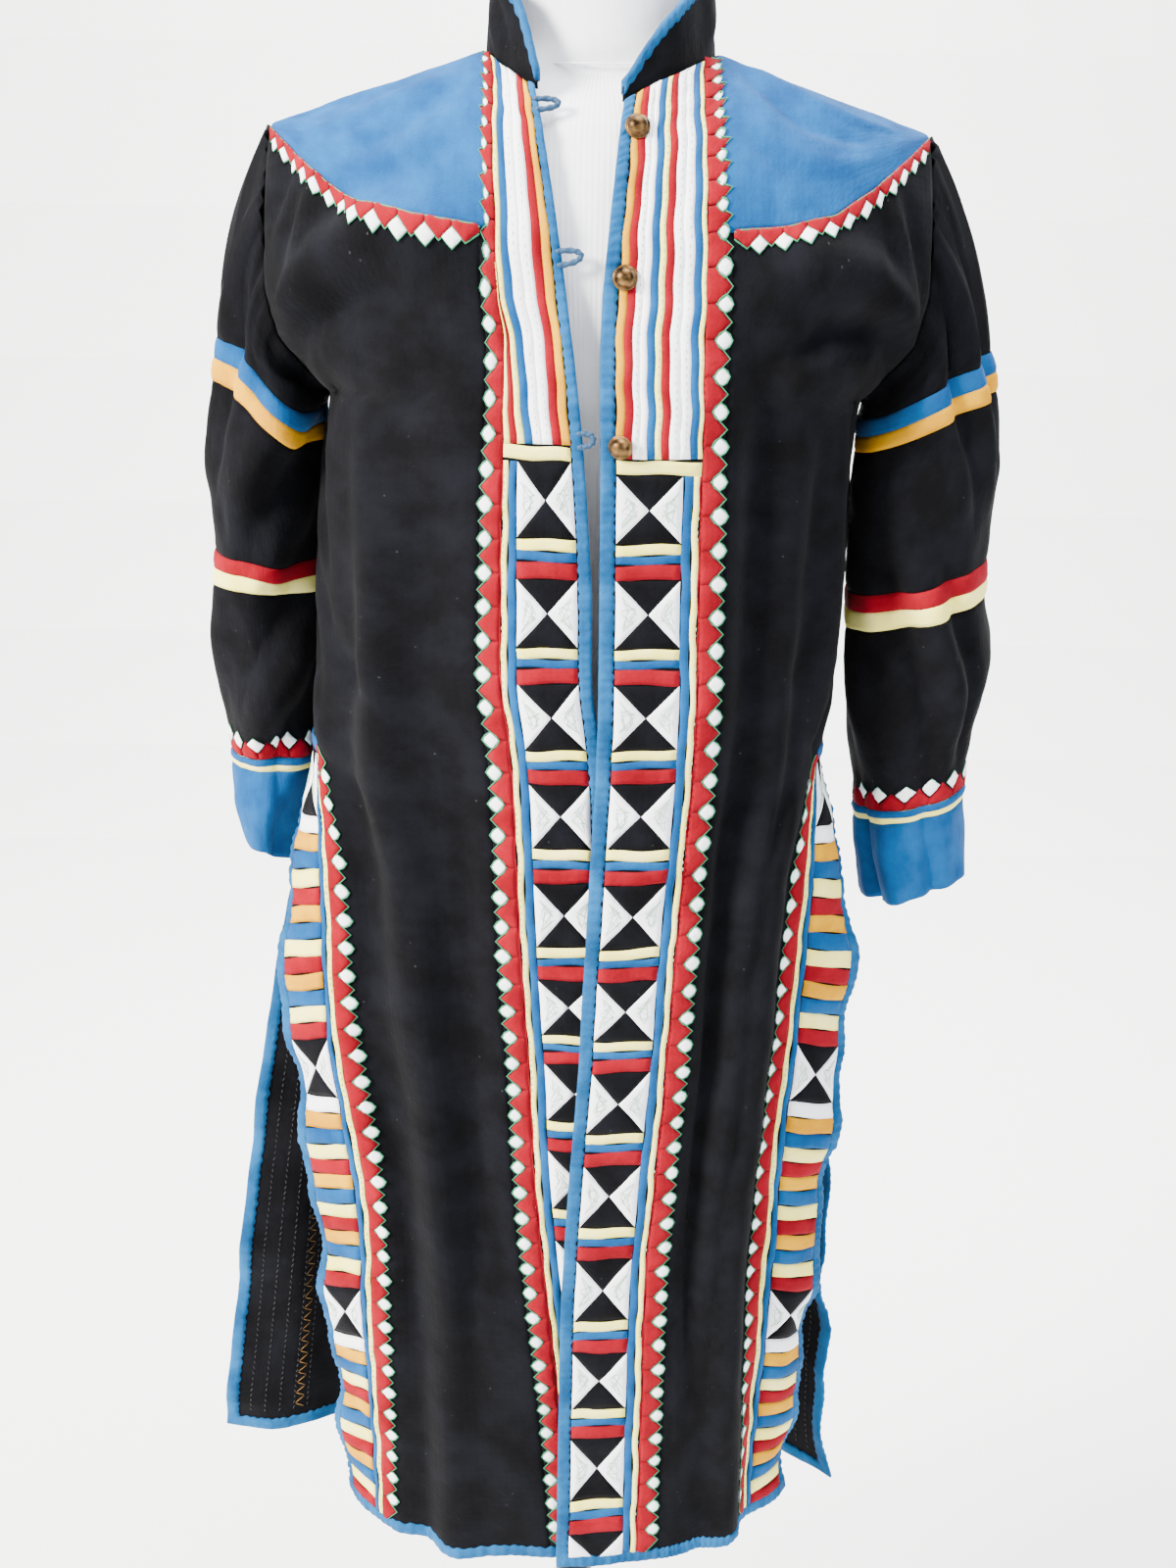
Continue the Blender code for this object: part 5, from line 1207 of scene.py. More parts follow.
def outline(mesh, points, lift, closed=False, thick=0.0004):
    """Add a line of close satin stitches through flat points, as a thin raised cord."""
    path = [Vector((*point, 0.0)) for point in points]
    if closed:
        path.append(path[0])
    last = len(path) - 1

    def place(s, t):
        index = int(round(t * last))
        angle = s * math.tau
        before = path[index - 1] if index else (path[-2] if closed else path[0])
        after = path[index + 1] if index < last else (path[1] if closed else path[-1])
        along = (after - before).normalized()
        side = Vector((-along.y, along.x, 0.0))
        return path[index] + side * thick * math.cos(angle) \
            + Vector((0.0, 0.0, lift + thick * math.sin(angle)))

    bmesh.ops.remove_doubles(mesh, verts=laid_grid(mesh, (6, last), place), dist=WELD)


def linked(name, data):
    """Put an object of the scene under its name."""
    made = bpy.data.objects.new(name, data)
    bpy.context.scene.collection.objects.link(made)
    return made


def finish_piece(name, mesh, materials, drape=None, wall=0.0, slot=None, node=None):
    """Turn a flat or placed mesh into a finished object that rides with the coat."""
    if drape is not None:
        drape.lay(mesh)
    data = bpy.data.meshes.new(name)
    mesh.to_mesh(data)
    mesh.free()
    for material in materials:
        data.materials.append(material)
    for face in data.polygons:
        face.use_smooth = True
    made = linked(name, data)
    if wall:
        thicken = made.modifiers.new("wall", "SOLIDIFY")
        thicken.thickness = wall
        thicken.offset = -1.0
    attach(made, "root")
    if node:
        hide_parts(node)
    return made


def seam_dip(low, high):
    """Lower the cloth beside the seams at a low and a high value across."""
    def height(a, u):
        away = min(a - low, high - a)
        return CLOTH_TOP - SEAM_DIP * max(0.0, 1.0 - away / SEAM_REACH) ** 2

    return height


def raised(mesh, place, cells, colour, base=PATCH_BASE, size=(0.01, 0.01), rim=0.0022):
    """Add a puffed patch whose flat outline is given by place(s, t), turned in at its edges."""
    def puffed(s, t):
        x, y = place(s, t)
        away = min(min(s, 1.0 - s) * size[0], min(t, 1.0 - t) * size[1])
        rise = PATCH_PUFF * min(1.0, max(away, 0.0) / rim) ** 0.6
        rise += 0.00042 * noise.noise(Vector((x * 170.0, y * 420.0, 1.0)))
        return x, y, base + rise

    laid_grid(mesh, cells, puffed, colour)


def strip(mesh, across, up, colour, cell=0.004, wave=0.0004):
    """Add a long strip of cloth between two across and two up values, edges a little wavy."""
    long = abs(up[1] - up[0])
    seed = across[0] * 431.0

    def place(s, t):
        u = up[0] + (up[1] - up[0]) * t
        shift = wave * math.sin(u * 210.0 + seed) + wave * math.sin(u * 91.0 + seed * 2.0)
        return across[0] + (across[1] - across[0]) * s + shift, u

    raised(mesh, place, (4, max(2, int(round(long / cell)))), colour,
           size=(abs(across[1] - across[0]), long))


def bar(mesh, across, up, colour, cell=0.004):
    """Add a bar of the pieced column between two up values, edges a little uneven."""
    wide = abs(across[1] - across[0])
    seed = up[0] * 377.0

    def place(s, t):
        a = across[0] + (across[1] - across[0]) * s
        shift = 0.0005 * math.sin(a * 160.0 + seed) + 0.0006 * math.sin(seed * 3.0) * (s - 0.5) * 2.0
        return a, up[0] + (up[1] - up[0]) * t + shift

    raised(mesh, place, (max(4, int(round(wide / cell))), 4), colour,
           size=(wide, abs(up[1] - up[0])))


def triangle(mesh, first, second, apex, colour, base=PATCH_BASE):
    """Add a puffed triangular patch; its first two corners are the ends of its base."""
    first, second, apex = Vector(first), Vector(second), Vector(apex)
    middle = (first + second + apex) / 3.0
    wide = (second - first).length
    tall = (apex - (first + second) / 2.0).length

    def place(s, t):
        at = first.lerp(second, s).lerp(apex, t * 0.985)
        away = min(t * tall, min(s, 1.0 - s) * wide * (1.0 - t) * 0.72, (1.0 - t) * tall * 0.5)
        at = middle + (at - middle) * 0.985
        return at.x, at.y, base + PATCH_PUFF * min(1.0, max(away, 0.0) / 0.003) ** 0.6

    laid_grid(mesh, (8, 5), place, colour)


def hourglass(mesh, threads, across, up):
    """Add one hourglass block: black above and below, white at both sides, scribbled on."""
    low, high = min(up), max(up)
    middle = ((across[0] + across[1]) / 2.0, (low + high) / 2.0)
    corners = [(across[0], low), (across[1], low), (across[1], high), (across[0], high)]
    for index, colour in enumerate(("washed black", "white", "washed black", "white")):
        triangle(mesh, corners[index], corners[(index + 1) % 4], middle, colour,
                 PATCH_BASE + (0.0002 if colour == "white" else 0.0))
    # Wandering stitches over the white triangles.
    wide, tall = abs(across[1] - across[0]), high - low
    for sign in (-1.0, 1.0):
        last = None
        for number in range(13):
            reach = 0.16 + 0.3 * (0.5 + 0.5 * math.sin(number * 2.399 + middle[1] * 700.0))
            rise = (reach - 0.05) * 0.78 * math.sin(number * 1.7 + sign + middle[1] * 300.0)
            here = (middle[0] + sign * reach * wide, middle[1] + rise * tall)
            if last is not None and math.dist(last, here) > 0.002:
                stitch(threads, last, here, PATCH_BASE + 0.0011, 0.00022)
            last = here


def diamond(mesh, threads, place, base, size, grow, lift, fine=0.006):
    """Add a white diamond and the stitches round it, grown from its middle."""
    raised(mesh, place, (6, 6), "white", base, size, 0.0035)
    x0, y0 = place(0.5, 0.5)
    ring = [place(s, t) for s, t in ((0, 0), (0.5, 0), (1, 0), (1, 0.5), (1, 1), (0.5, 1), (0, 1),
                                     (0, 0.5))]
    ring = [(x0 + (x - x0) * grow[0], y0 + (y - y0) * grow[1]) for x, y in ring]
    outline(threads, split_line(ring + [ring[0]], fine)[:-1], lift, True)


def diamond_place(centre, half, slope):
    """Where the corners of a diamond with rounded sides lie, on cloth that leans by a slope."""
    def place(s, t):
        x, y = 2.0 * s - 1.0, 2.0 * t - 1.0
        across, along = (x + y) / 2.0, (y - x) / 2.0
        far = abs(across) + abs(along)
        near = math.hypot(across, along)
        soften = 1.0 if far == 0.0 else 0.62 + 0.38 * (1.0 - near / max(far, 0.001)) / 0.293
        soften = min(1.0, max(0.8, soften + 0.15))
        at = across * half[0] * soften
        return centre[0] + at, centre[1] + along * half[1] * soften + slope * at

    return place


def split_line(points, size):
    """The points of a bent line with more of them between, about size apart."""
    found = [tuple(points[0])]
    for start, end in zip(points, points[1:]):
        count = max(1, int(math.dist(start, end) / size))
        for step in range(1, count + 1):
            found.append((start[0] + (end[0] - start[0]) * step / count,
                          start[1] + (end[1] - start[1]) * step / count))
    return found


def sawtooth(cloths, threads, panel, straight, valley, tip, levels, half=0.0058):
    """Add a red sawtooth strip along up, white diamonds in its valleys and green outlines.

    straight, valley and tip are distances across, levels the heights of the valleys, and half
    is half a diamond's width."""
    sign = 1.0 if tip > valley else -1.0
    slopes = [level_slope(panel, valley - sign * 0.003, level) for level in levels]
    line = []
    for index, (low, high) in enumerate(zip(levels, levels[1:])):
        slope = (slopes[index] + slopes[index + 1]) / 2.0

        def place(s, t):
            edge = valley + (tip - valley) * (1.0 - abs(2.0 * t - 1.0)) ** 0.95
            at = straight + (edge - straight) * s
            return at, low + (high - low) * t + slope * (at - valley)

        raised(cloths, place, (4, 8), "red", TEETH_BASE,
               (abs(tip - straight), 1.0))
        line += [place(1.0, 0.0), place(1.0, 0.5)]
    line.append((valley, levels[-1]))
    outline(threads, split_line([(a + sign * 0.0006, u) for a, u in line], 0.006),
            OVER_PATCH)
    for index, level in enumerate(levels[1:-1], 1):
        gap = (levels[index + 1] - levels[index - 1]) / 2.0
        wide = half * min(1.0, gap / 0.0185)
        uneven = 1.0 + 0.06 * math.sin(index * 2.7 + valley * 90.0)
        centre = (valley + sign * wide * 1.02, level + slopes[index] * sign * wide)
        half_size = wide * uneven, gap * 0.31
        diamond(cloths, threads, diamond_place(centre, half_size, slopes[index]),
                OVER_PATCH, (half_size[0] * 1.6, half_size[1] * 1.6), (1.12, 1.1),
                RING_LIFT)


def pair(name, cloths, threads, drape, slot, colour=GREEN_THREAD, node=None):
    """Finish the patches of a band and the stitches on them."""
    return [finish_piece(name + "_patches", cloths, list(COTTONS.values()), drape, PATCH_WALL, slot,
                         node),
            finish_piece(name + "_stitches", threads, [colour], drape)]


def tooth_levels(panel, across, low, high):
    """Heights that divide a column of the drape into teeth."""
    heights = np.linspace(low, high, 400)
    points = [base_point(panel, across, float(height)) for height in heights]
    counted = [0.0]
    for first, last in zip(points, points[1:]):
        counted.append(counted[-1] + (last - first).length / straight_value(TOOTH_PITCH, first.z))
    teeth = max(1, round(counted[-1]))
    return [float(at) for at in np.interp(np.linspace(0.0, counted[-1], teeth + 1), counted, heights)]


def level_slope(panel, across, up):
    """How much the flat height changes along a level line, where the drape leans."""
    reach = 0.003
    sideways = base_point(panel, across + reach, up).z - base_point(panel, across - reach, up).z
    upwards = base_point(panel, across, up + reach).z - base_point(panel, across, up - reach).z
    return -sideways / upwards


def stripes(cloths, threads, side, low, top):
    """The stripes between the blocks and the neck, some of them running out under the saw."""
    rows = [dict(zip(STRIPE_COLUMNS, row)) for row in STRIPES[side]]
    room = SAW_START - COLUMN_IN
    low_room, high_room = sum(row["low"] for row in rows), sum(row["high"] for row in rows)
    at_low = at_high = COLUMN_IN
    turn = low + (top - low) * 0.46
    for row in rows:
        low_pair = (at_low, at_low + row["low"] / low_room * room)
        high_pair = (at_high, at_high + row["high"] / high_room * room)
        at_low, at_high = low_pair[1], high_pair[1]
        end = top if row["high"] else turn

        def place(s, t):
            u = low + (end - low) * t
            share = min(1.0, (u - low) / (turn - low))
            first = low_pair[0] + (high_pair[0] - low_pair[0]) * share
            last = low_pair[1] + (high_pair[1] - low_pair[1]) * share
            wave = 0.0004 * math.sin(u * 210.0) + 0.0004 * math.sin(u * 91.0 + 1.0)
            return first + (max(last, first + 0.0002) - first) * s + wave, u

        wide = (low_pair[1] - low_pair[0])
        raised(cloths, place, (4, max(4, int((end - low) / 0.004))), row["colour"],
               size=(wide, end - low), rim=0.0016)
        if row["stitched"]:
            points = [place(0.5, t) for t in np.linspace(0.02, 0.98, 9)]
            for first, last in zip(points, points[1:]):
                stitch_line(threads, first, last, STITCH_LIFT, 0.0022, 0.002)


def front_band(side, drape):
    """The pieced and stitched band along one front edge."""
    mesh = bmesh.new()
    top = NECK_POINT - 0.0003
    grid_piece(mesh, (0.0012, SAW_TIP - 0.0002), (HEM + 0.0012, top), (0.004, 0.0042),
               seam_dip(-1.0, SAW_TIP))
    base = finish_piece("front_band_%s_cloth" % side, mesh, [COTTONS["washed black"]], drape,
                        CLOTH_WALL, "patchwork", "front_band_" + side)
    cloths, threads = bmesh.new(), bmesh.new()
    low = HEM + BINDING - 0.001
    tops = BLOCK_TOPS[side]
    start = tops[0]
    stripes(cloths, threads, side, start + FIRST_BAR + 0.0012, top)
    # A cream bar, then the blocks down to the hem.
    bar(cloths, (COLUMN_IN, SAW_START - 0.0004), (start + 0.0004, start + FIRST_BAR), "pale cream")
    column = (COLUMN_IN, COLUMN_OUT)
    for high, below in zip(tops, tops[1:]):
        tall = high - below
        waist = high - tall * BLOCK_SHARES[0][1]
        if waist > low:
            hourglass(cloths, threads, column, (waist, high - PATCH_GAP))
        elif high > low + 0.004:
            half_hourglass(cloths, column, (low, high - PATCH_GAP), waist)
        for colour, first, last in BLOCK_SHARES:
            bar_low, bar_high = high - tall * last, high - tall * first - PATCH_GAP
            if bar_low > low:
                bar(cloths, column, (bar_low, bar_high), colour)
    strip(cloths, (COLUMN_OUT + PATCH_GAP, BLUE_OUT - PATCH_GAP / 2), (low, start - 0.0004), "mid blue")
    strip(cloths, (BLUE_OUT + PATCH_GAP / 2, CREAM_OUT - 0.0012), (low, start - 0.0004), "pale cream")
    strip(cloths, (CREAM_OUT - 0.0011, CREAM_OUT + 0.0003), (low, start - 0.0004), "red")
    stitch_line(threads, (CREAM_OUT - 0.002, low + 0.004), (CREAM_OUT - 0.002, start - 0.003),
                STITCH_LIFT)
    found = pair("front_band_" + side, cloths, threads, drape, "patchwork", PALE_THREAD)
    cloths, threads = bmesh.new(), bmesh.new()
    levels = tooth_levels(side, SAW_VALLEY, low, top)
    sawtooth(cloths, threads, side, SAW_START, SAW_VALLEY - 0.0003, SAW_TIP - 0.0006, levels)
    teeth = pair("front_teeth_" + side, cloths, threads, drape, "red",
                 node="front_teeth_" + side)


def half_hourglass(mesh, across, up, whole_low):
    """Add what the hem leaves of a last hourglass: its black top and parts of its white sides."""
    low, high = up
    middle_up = (whole_low + high) / 2.0
    middle = (across[0] + across[1]) / 2.0
    floor = max(low, middle_up)
    share = (high - floor) / (high - middle_up)
    inset = (across[1] - across[0]) / 2.0 * share
    triangle(mesh, (across[1], high), (across[0], high), (middle, middle_up + 0.0004), "washed black")
    for edge, sign in ((across[0], 1.0), (across[1], -1.0)):
        corners = [(edge, low), (edge + sign * inset, floor), (edge, high - 0.001)]
        if sign > 0.0:
            corners = corners[::-1]
        triangle(mesh, corners[0], corners[1], corners[2], "white")


def plain_cloth(panel, node, columns, ends, drape):
    """The plain black cloth of a front or of the back, below its yoke."""
    mesh = bmesh.new()
    tops = {}

    def place(s, t):
        across = ends[0] + (ends[1] - ends[0]) * s
        key = round(across, 5)
        if key not in tops:
            tops[key] = yoke_up(panel, across) + 0.0006
        up = HEM + 0.0012 + (tops[key] - HEM - 0.0012) * t
        dip = max(0.0, 1.0 - (BACK_HALF - abs(across)) / SEAM_REACH) ** 2 if up > SLIT_TOP else 0.0
        if panel != "back":
            dip = min(1.0, max(dip, max(0.0, 1.0 - (across - SAW_TIP) / SEAM_REACH) ** 2))
        return across, up, CLOTH_TOP - SEAM_DIP * dip

    laid_grid(mesh, (columns, 196), place)
    return finish_piece(node + "_cloth", mesh, [COTTONS["washed black"]], drape, CLOTH_WALL,
                        "washed_black", node)


def front_panel(side, drape):
    """The plain cloth of one front with its side band and the trim under its yoke."""
    cloth = plain_cloth(side, "front_panel_" + side, 42, (SAW_TIP - 0.001, FRONT_WIDTH - 0.0003),
                        drape)
    extras = side_band(side, 1.0, drape, "front_" + side, True)
    extras += yoke_teeth(side, 1.0, drape, "front_" + side)


def side_band(panel, sign, drape, name, teeth):
    """The pieced band beside a slit, on a front or on the back."""
    def on(distance):
        return (FRONT_WIDTH - distance) if panel != "back" else sign * (BACK_HALF - distance)

    cloths, threads = bmesh.new(), bmesh.new()
    top, low = SLIT_TOP - 0.001, HEM + BINDING - 0.001
    column = sorted((on(0.0088), on(SIDE_COLUMN_OUT)))
    at = top
    bar(cloths, sorted((on(0.0088), on(SIDE_CREAM_OUT))), (at - SIDE_BAR, at), "mid blue")
    at -= SIDE_BAR + PATCH_GAP
    below = at
    while at > low + 0.004:
        tall = min(SIDE_HOURGLASS, at - low)
        if tall > SIDE_HOURGLASS * 0.9:
            hourglass(cloths, threads, column, (at - tall, at - PATCH_GAP))
        at -= tall
        for colour in ("white",) + SIDE_RUN * 3:
            tall = min(SIDE_BAR, at - low)
            if tall < 0.003:
                break
            bar(cloths, column, (at - tall, at - PATCH_GAP), colour)
            at -= tall
    inner = sorted((on(SIDE_COLUMN_OUT + PATCH_GAP), on(SIDE_BLUE_OUT)))
    outer = sorted((on(SIDE_BLUE_OUT + PATCH_GAP), on(SIDE_CREAM_OUT)))
    strip(cloths, inner, (low, below), "mid blue")
    strip(cloths, outer, (low, below), "pale cream")
    stitch_line(threads, (sum(outer) / 2, low + 0.004), (sum(outer) / 2, below - 0.003),
                PATCH_BASE + 0.0009)
    if teeth:
        for vert in list(cloths.verts) + list(threads.verts):
            ends = min(1.0, max(0.0, min(top - vert.co.y, vert.co.y - low) / 0.08))
            vert.co.y += SIDE_LEAN * ends * (FRONT_WIDTH - vert.co.x - SIDE_COLUMN_OUT / 2.0)
    found = pair("side_band_" + name, cloths, threads, drape, "patchwork", PALE_THREAD,
                 "side_band_" + name)
    if teeth:
        cloths, threads = bmesh.new(), bmesh.new()
        levels = tooth_levels(panel, on(SIDE_VALLEY), low, top - 0.002)
        sawtooth(cloths, threads, panel, on(SIDE_CREAM_OUT + 0.0004), on(SIDE_VALLEY),
                 on(SIDE_TIP - 0.0008), levels, 0.0054)
        found += pair("side_teeth_" + name, cloths, threads, drape, "red",
                      node="side_teeth_" + name)
    return found


def yoke_teeth(panel, sign, drape, name):
    """Red triangles hanging from the yoke's lower edge, white diamonds between them.

    On the back the two runs meet in the middle, and the left one has the diamond there."""
    start = 0.0 if panel == "back" else SAW_TIP + 0.0006
    end = (BACK_HALF if panel == "back" else FRONT_WIDTH) - 0.0012
    shares = np.linspace(0.0, 1.0, 120)
    line = [(sign * (start + (end - start) * float(share))) for share in shares]
    tops = [yoke_up(panel, across) for across in line]
    points = [base_point(panel, across, top) for across, top in zip(line, tops)]
    lengths = running_lengths(points)
    heights = [(point - base_point(panel, across, top - 0.004)).length / 0.004
               for point, across, top in zip(points, line, tops)]

    def place(length, drop):
        across = float(np.interp(length, lengths, line)) + sign * min(length, 0.0)
        top = float(np.interp(length, lengths, tops))
        return across, top - drop / float(np.interp(length, lengths, heights)) + 0.001

    total = float(lengths[-1])
    count = max(3, round(total / 0.015))
    pitch = total / count
    cloths, threads = bmesh.new(), bmesh.new()
    edge = []
    for tooth in range(count):
        def lay(s, t, first=tooth * pitch):
            low = 0.0038 + 0.007 * (1.0 - abs(2.0 * s - 1.0))
            return place(first + pitch * s, low * t)

        raised(cloths, lay, (8, 4), "red", TEETH_BASE, (1.0, 0.011))
        edge += [place(tooth * pitch, 0.0044), place((tooth + 0.5) * pitch, 0.0114)]
    edge.append(place(total, 0.0044))
    outline(threads, split_line(edge, 0.005), OVER_PATCH)
    for valley in range(0 if panel == "back" and sign > 0.0 else 1, count):
        def round_out(s, t, centre=valley * pitch):
            return place(centre + (s + t - 1.0) * pitch * 0.35, 0.0094 + (t - s) * 0.0052)

        diamond(cloths, threads, round_out, PATCH_BASE + 0.0005, (0.01, 0.01), (1.08, 1.08),
                RING_LIFT)
    hem_line = [place(float(at), 0.0006) for at in np.linspace(0.0, total, int(total / 0.004))]
    outline(threads, hem_line, STITCH_LIFT)
    if sign < 0.0:
        bmesh.ops.reverse_faces(cloths, faces=cloths.faces)
    bmesh.ops.recalc_face_normals(threads, faces=threads.faces)
    return pair("yoke_teeth_" + name, cloths, threads, drape, "red",
                node="yoke_teeth_" + name)


def back_panel(drape):
    """The back below its yoke, with its side bands, and its stitching seen inside the slits."""
    reach = BACK_HALF - 0.0005
    cloth = plain_cloth("back", "back_panel", 110, (-reach, reach), drape)
    extras = []
    for sign, side in ((-1.0, "right"), (1.0, "left")):
        extras += side_band("back", sign, drape, "back_" + side, False)
        extras += yoke_teeth("back", sign, drape, "back_" + side)
    dark, bright = bmesh.new(), bmesh.new()
    for sign in (-1.0, 1.0):
        for column in range(5):
            across = sign * (BACK_HALF - 0.018 - 0.0105 * column)
            last = None
            for number in range(118):
                up = SLIT_TOP - 0.03 - number * 0.0046
                if up < HEM + 0.014:
                    break
                sway = 0.0008 * math.sin(number * 0.9 + column)
                stitch(dark, (across + sway, up), (across - sway, up + 0.0029), 0.0001, 0.00045)
                if column == 4 and up < 0.6:
                    side = sign * 0.0038 * (1.0 if number % 2 else -1.0)
                    here = (across + sign * 0.0062 + side, up)
                    if last is not None:
                        stitch(bright, last, here, 0.0001, 0.00035)
                    last = here
    extras.append(finish_piece("back_inside_stitches", dark, [BLACK_THREAD], drape))
    extras.append(finish_piece("back_inside_cross_stitches", bright, [GOLD_THREAD], drape))


def folded_binding(name, node, profile, rows, place, drape, length):
    """A binding folded over an edge: place(index, share, lift) lays its section at each row."""
    mesh = bmesh.new()

    def put(s, t):
        return place(int(round(t * rows)), *profile[int(round(s * len(profile))) % len(profile)])

    laid_grid(mesh, (len(profile), rows), put)
    seam = finish_tube(name, mesh, COTTONS["binding blue"], drape, "mid_blue", node)


def bound_edge(panel, drape):
    """The puckered blue binding along the free edges of a panel, folded over them."""
    inset, hem_in, step = BINDING, HEM + BINDING, 0.0015
    first, last, top = (-BACK_HALF, BACK_HALF, SLIT_TOP) if panel == "back" \
        else (0.0, FRONT_WIDTH, NECK_POINT)
    path = [((first, float(up)), (first + inset, float(up)))
            for up in np.arange(top - 0.0005, hem_in, -step)]
    path.append(((first, HEM), (first + inset, hem_in)))
    path += [((float(at), HEM), (float(at), hem_in))
             for at in np.arange(first + inset, last - inset, step)]
    path.append(((last, HEM), (last - inset, hem_in)))
    path += [((last, float(up)), (last - inset, float(up)))
             for up in np.arange(hem_in, SLIT_TOP, step)]
    profile = [(1.0, -0.0004), (0.6, -0.0008), (0.2, -0.0007), (0.02, -0.0001), (0.0, 0.0007),
               (0.03, 0.0017), (0.2, 0.0024), (0.45, 0.0026), (0.75, 0.0025), (0.95, 0.0021),
               (1.0, 0.0014), (1.0, 0.0004)]

    def place(index, share, lift):
        (x0, y0), (x1, y1) = path[index]
        wave = math.sin(index * 1.55 + 1.3 * math.sin(index * 0.21)) + 0.5 * math.sin(index * 0.83)
        outside = 1.0 if lift > 0.0012 else 0.3
        lift += 0.00062 * wave * outside * math.sin(math.pi * min(1.0, share + 0.12))
        share = share * (1.0 + 0.07 * wave)
        return x0 + (x1 - x0) * share, y0 + (y1 - y0) * share, lift

    folded_binding("bound_edge_" + panel, "binding_" + panel, profile, len(path) - 1, place, drape,
                   sum(math.dist(a[0], b[0]) for a, b in zip(path, path[1:])))


def finish_tube(name, mesh, material, drape, slot, node):
    """Finish a closed tube that was made from a grid."""
    drape.lay(mesh)
    bmesh.ops.remove_doubles(mesh, verts=mesh.verts, dist=WELD)
    rims = [edge for edge in mesh.edges if edge.is_boundary]
    bmesh.ops.holes_fill(mesh, edges=rims, sides=0)
    bmesh.ops.recalc_face_normals(mesh, faces=mesh.faces)
    return finish_piece(name, mesh, [material], slot=slot, node=node)


def yokes(drapes):
    """The three plain blue pieces of the yoke."""
    for side in ("left", "right"):
        drape = yoke_drape(side, drapes)
        drape.uv_scale = (1.0, 0.12)
        mesh = bmesh.new()
        verts = grid_piece(mesh, (SAW_TIP + 0.0003, FRONT_WIDTH - 0.0004), (-0.999, 0.999),
                           (0.0032, 2.0 / 84), seam_dip(SAW_TIP, FRONT_WIDTH))
        # On the front it runs on under the sawtooth edge of the band.
        for vert in verts:
            near = max(0.0, 1.0 - (vert.co.x - SAW_TIP) / 0.012) * min(1.0, max(0.0, -vert.co.y / 0.06))
            vert.co.x -= (SAW_TIP - SAW_VALLEY + 0.001) * near
            vert.co.z = vert.co.z + (CLOTH_TOP + 0.0002 - vert.co.z) * near
        cloth = finish_piece("yoke_%s_cloth" % side, mesh, [COTTONS["mid blue"]], drape, CLOTH_WALL,
                             "mid_blue", "yoke_" + side)
    drape = back_yoke_drape()
    drape.uv_scale = (1.0, 0.11)
    mesh = bmesh.new()
    grid_piece(mesh, (-BACK_NECK_HALF + 0.0003, BACK_NECK_HALF - 0.0003), (0.001, 0.999),
               (0.004, 1.0 / 28), lambda a, u: CLOTH_TOP)
    cloth = finish_piece("yoke_back_cloth", mesh, [COTTONS["mid blue"]], drape, CLOTH_WALL,
                         "mid_blue", "yoke_back")


def sag(side, ring, turn):
    """How far a ring of the sleeve hangs below its level at a share of a turn."""
    depth = STRIP_SAG.get(ring, 0.0) if side == "right" else 0.0
    return depth * math.exp(-((turn - SAG_MIDDLE) / SAG_WIDTH) ** 2)


def sleeve_tube(name, side, drape, lengths, first, last, colour, slot):
    """One length of a sleeve, between two of the table's rings, with turned seams."""
    # Strips of trim lie a little over the black cloth at both ends.
    over = 0.0 if colour == "washed black" or not first or last == len(lengths) - 1 else 0.0005
    low, high = lengths[first] - over, lengths[last] + over
    mesh = bmesh.new()
    tall = high - low
    rows = max(4, int(round(tall / 0.0042)))

    def place(s, t):
        away = min(t * tall if first else 1.0, (1.0 - t) * tall if last < len(lengths) - 1 else 1.0)
        dip = max(0.0, 1.0 - away / 0.0025) ** 2
        lift = CLOTH_TOP - 0.0008 * dip + (0.0006 if colour != "washed black" else 0.0)
        sunk = sag(side, first, s) * (1.0 - t) + sag(side, last, s) * t
        return s, low + tall * t + sunk, lift

    laid_grid(mesh, (96, rows), place)
    drape.lay(mesh)
    bmesh.ops.remove_doubles(mesh, verts=mesh.verts, dist=WELD)
    return finish_piece(name + "_cloth", mesh, [COTTONS[colour]], None, CLOTH_WALL, slot, name)


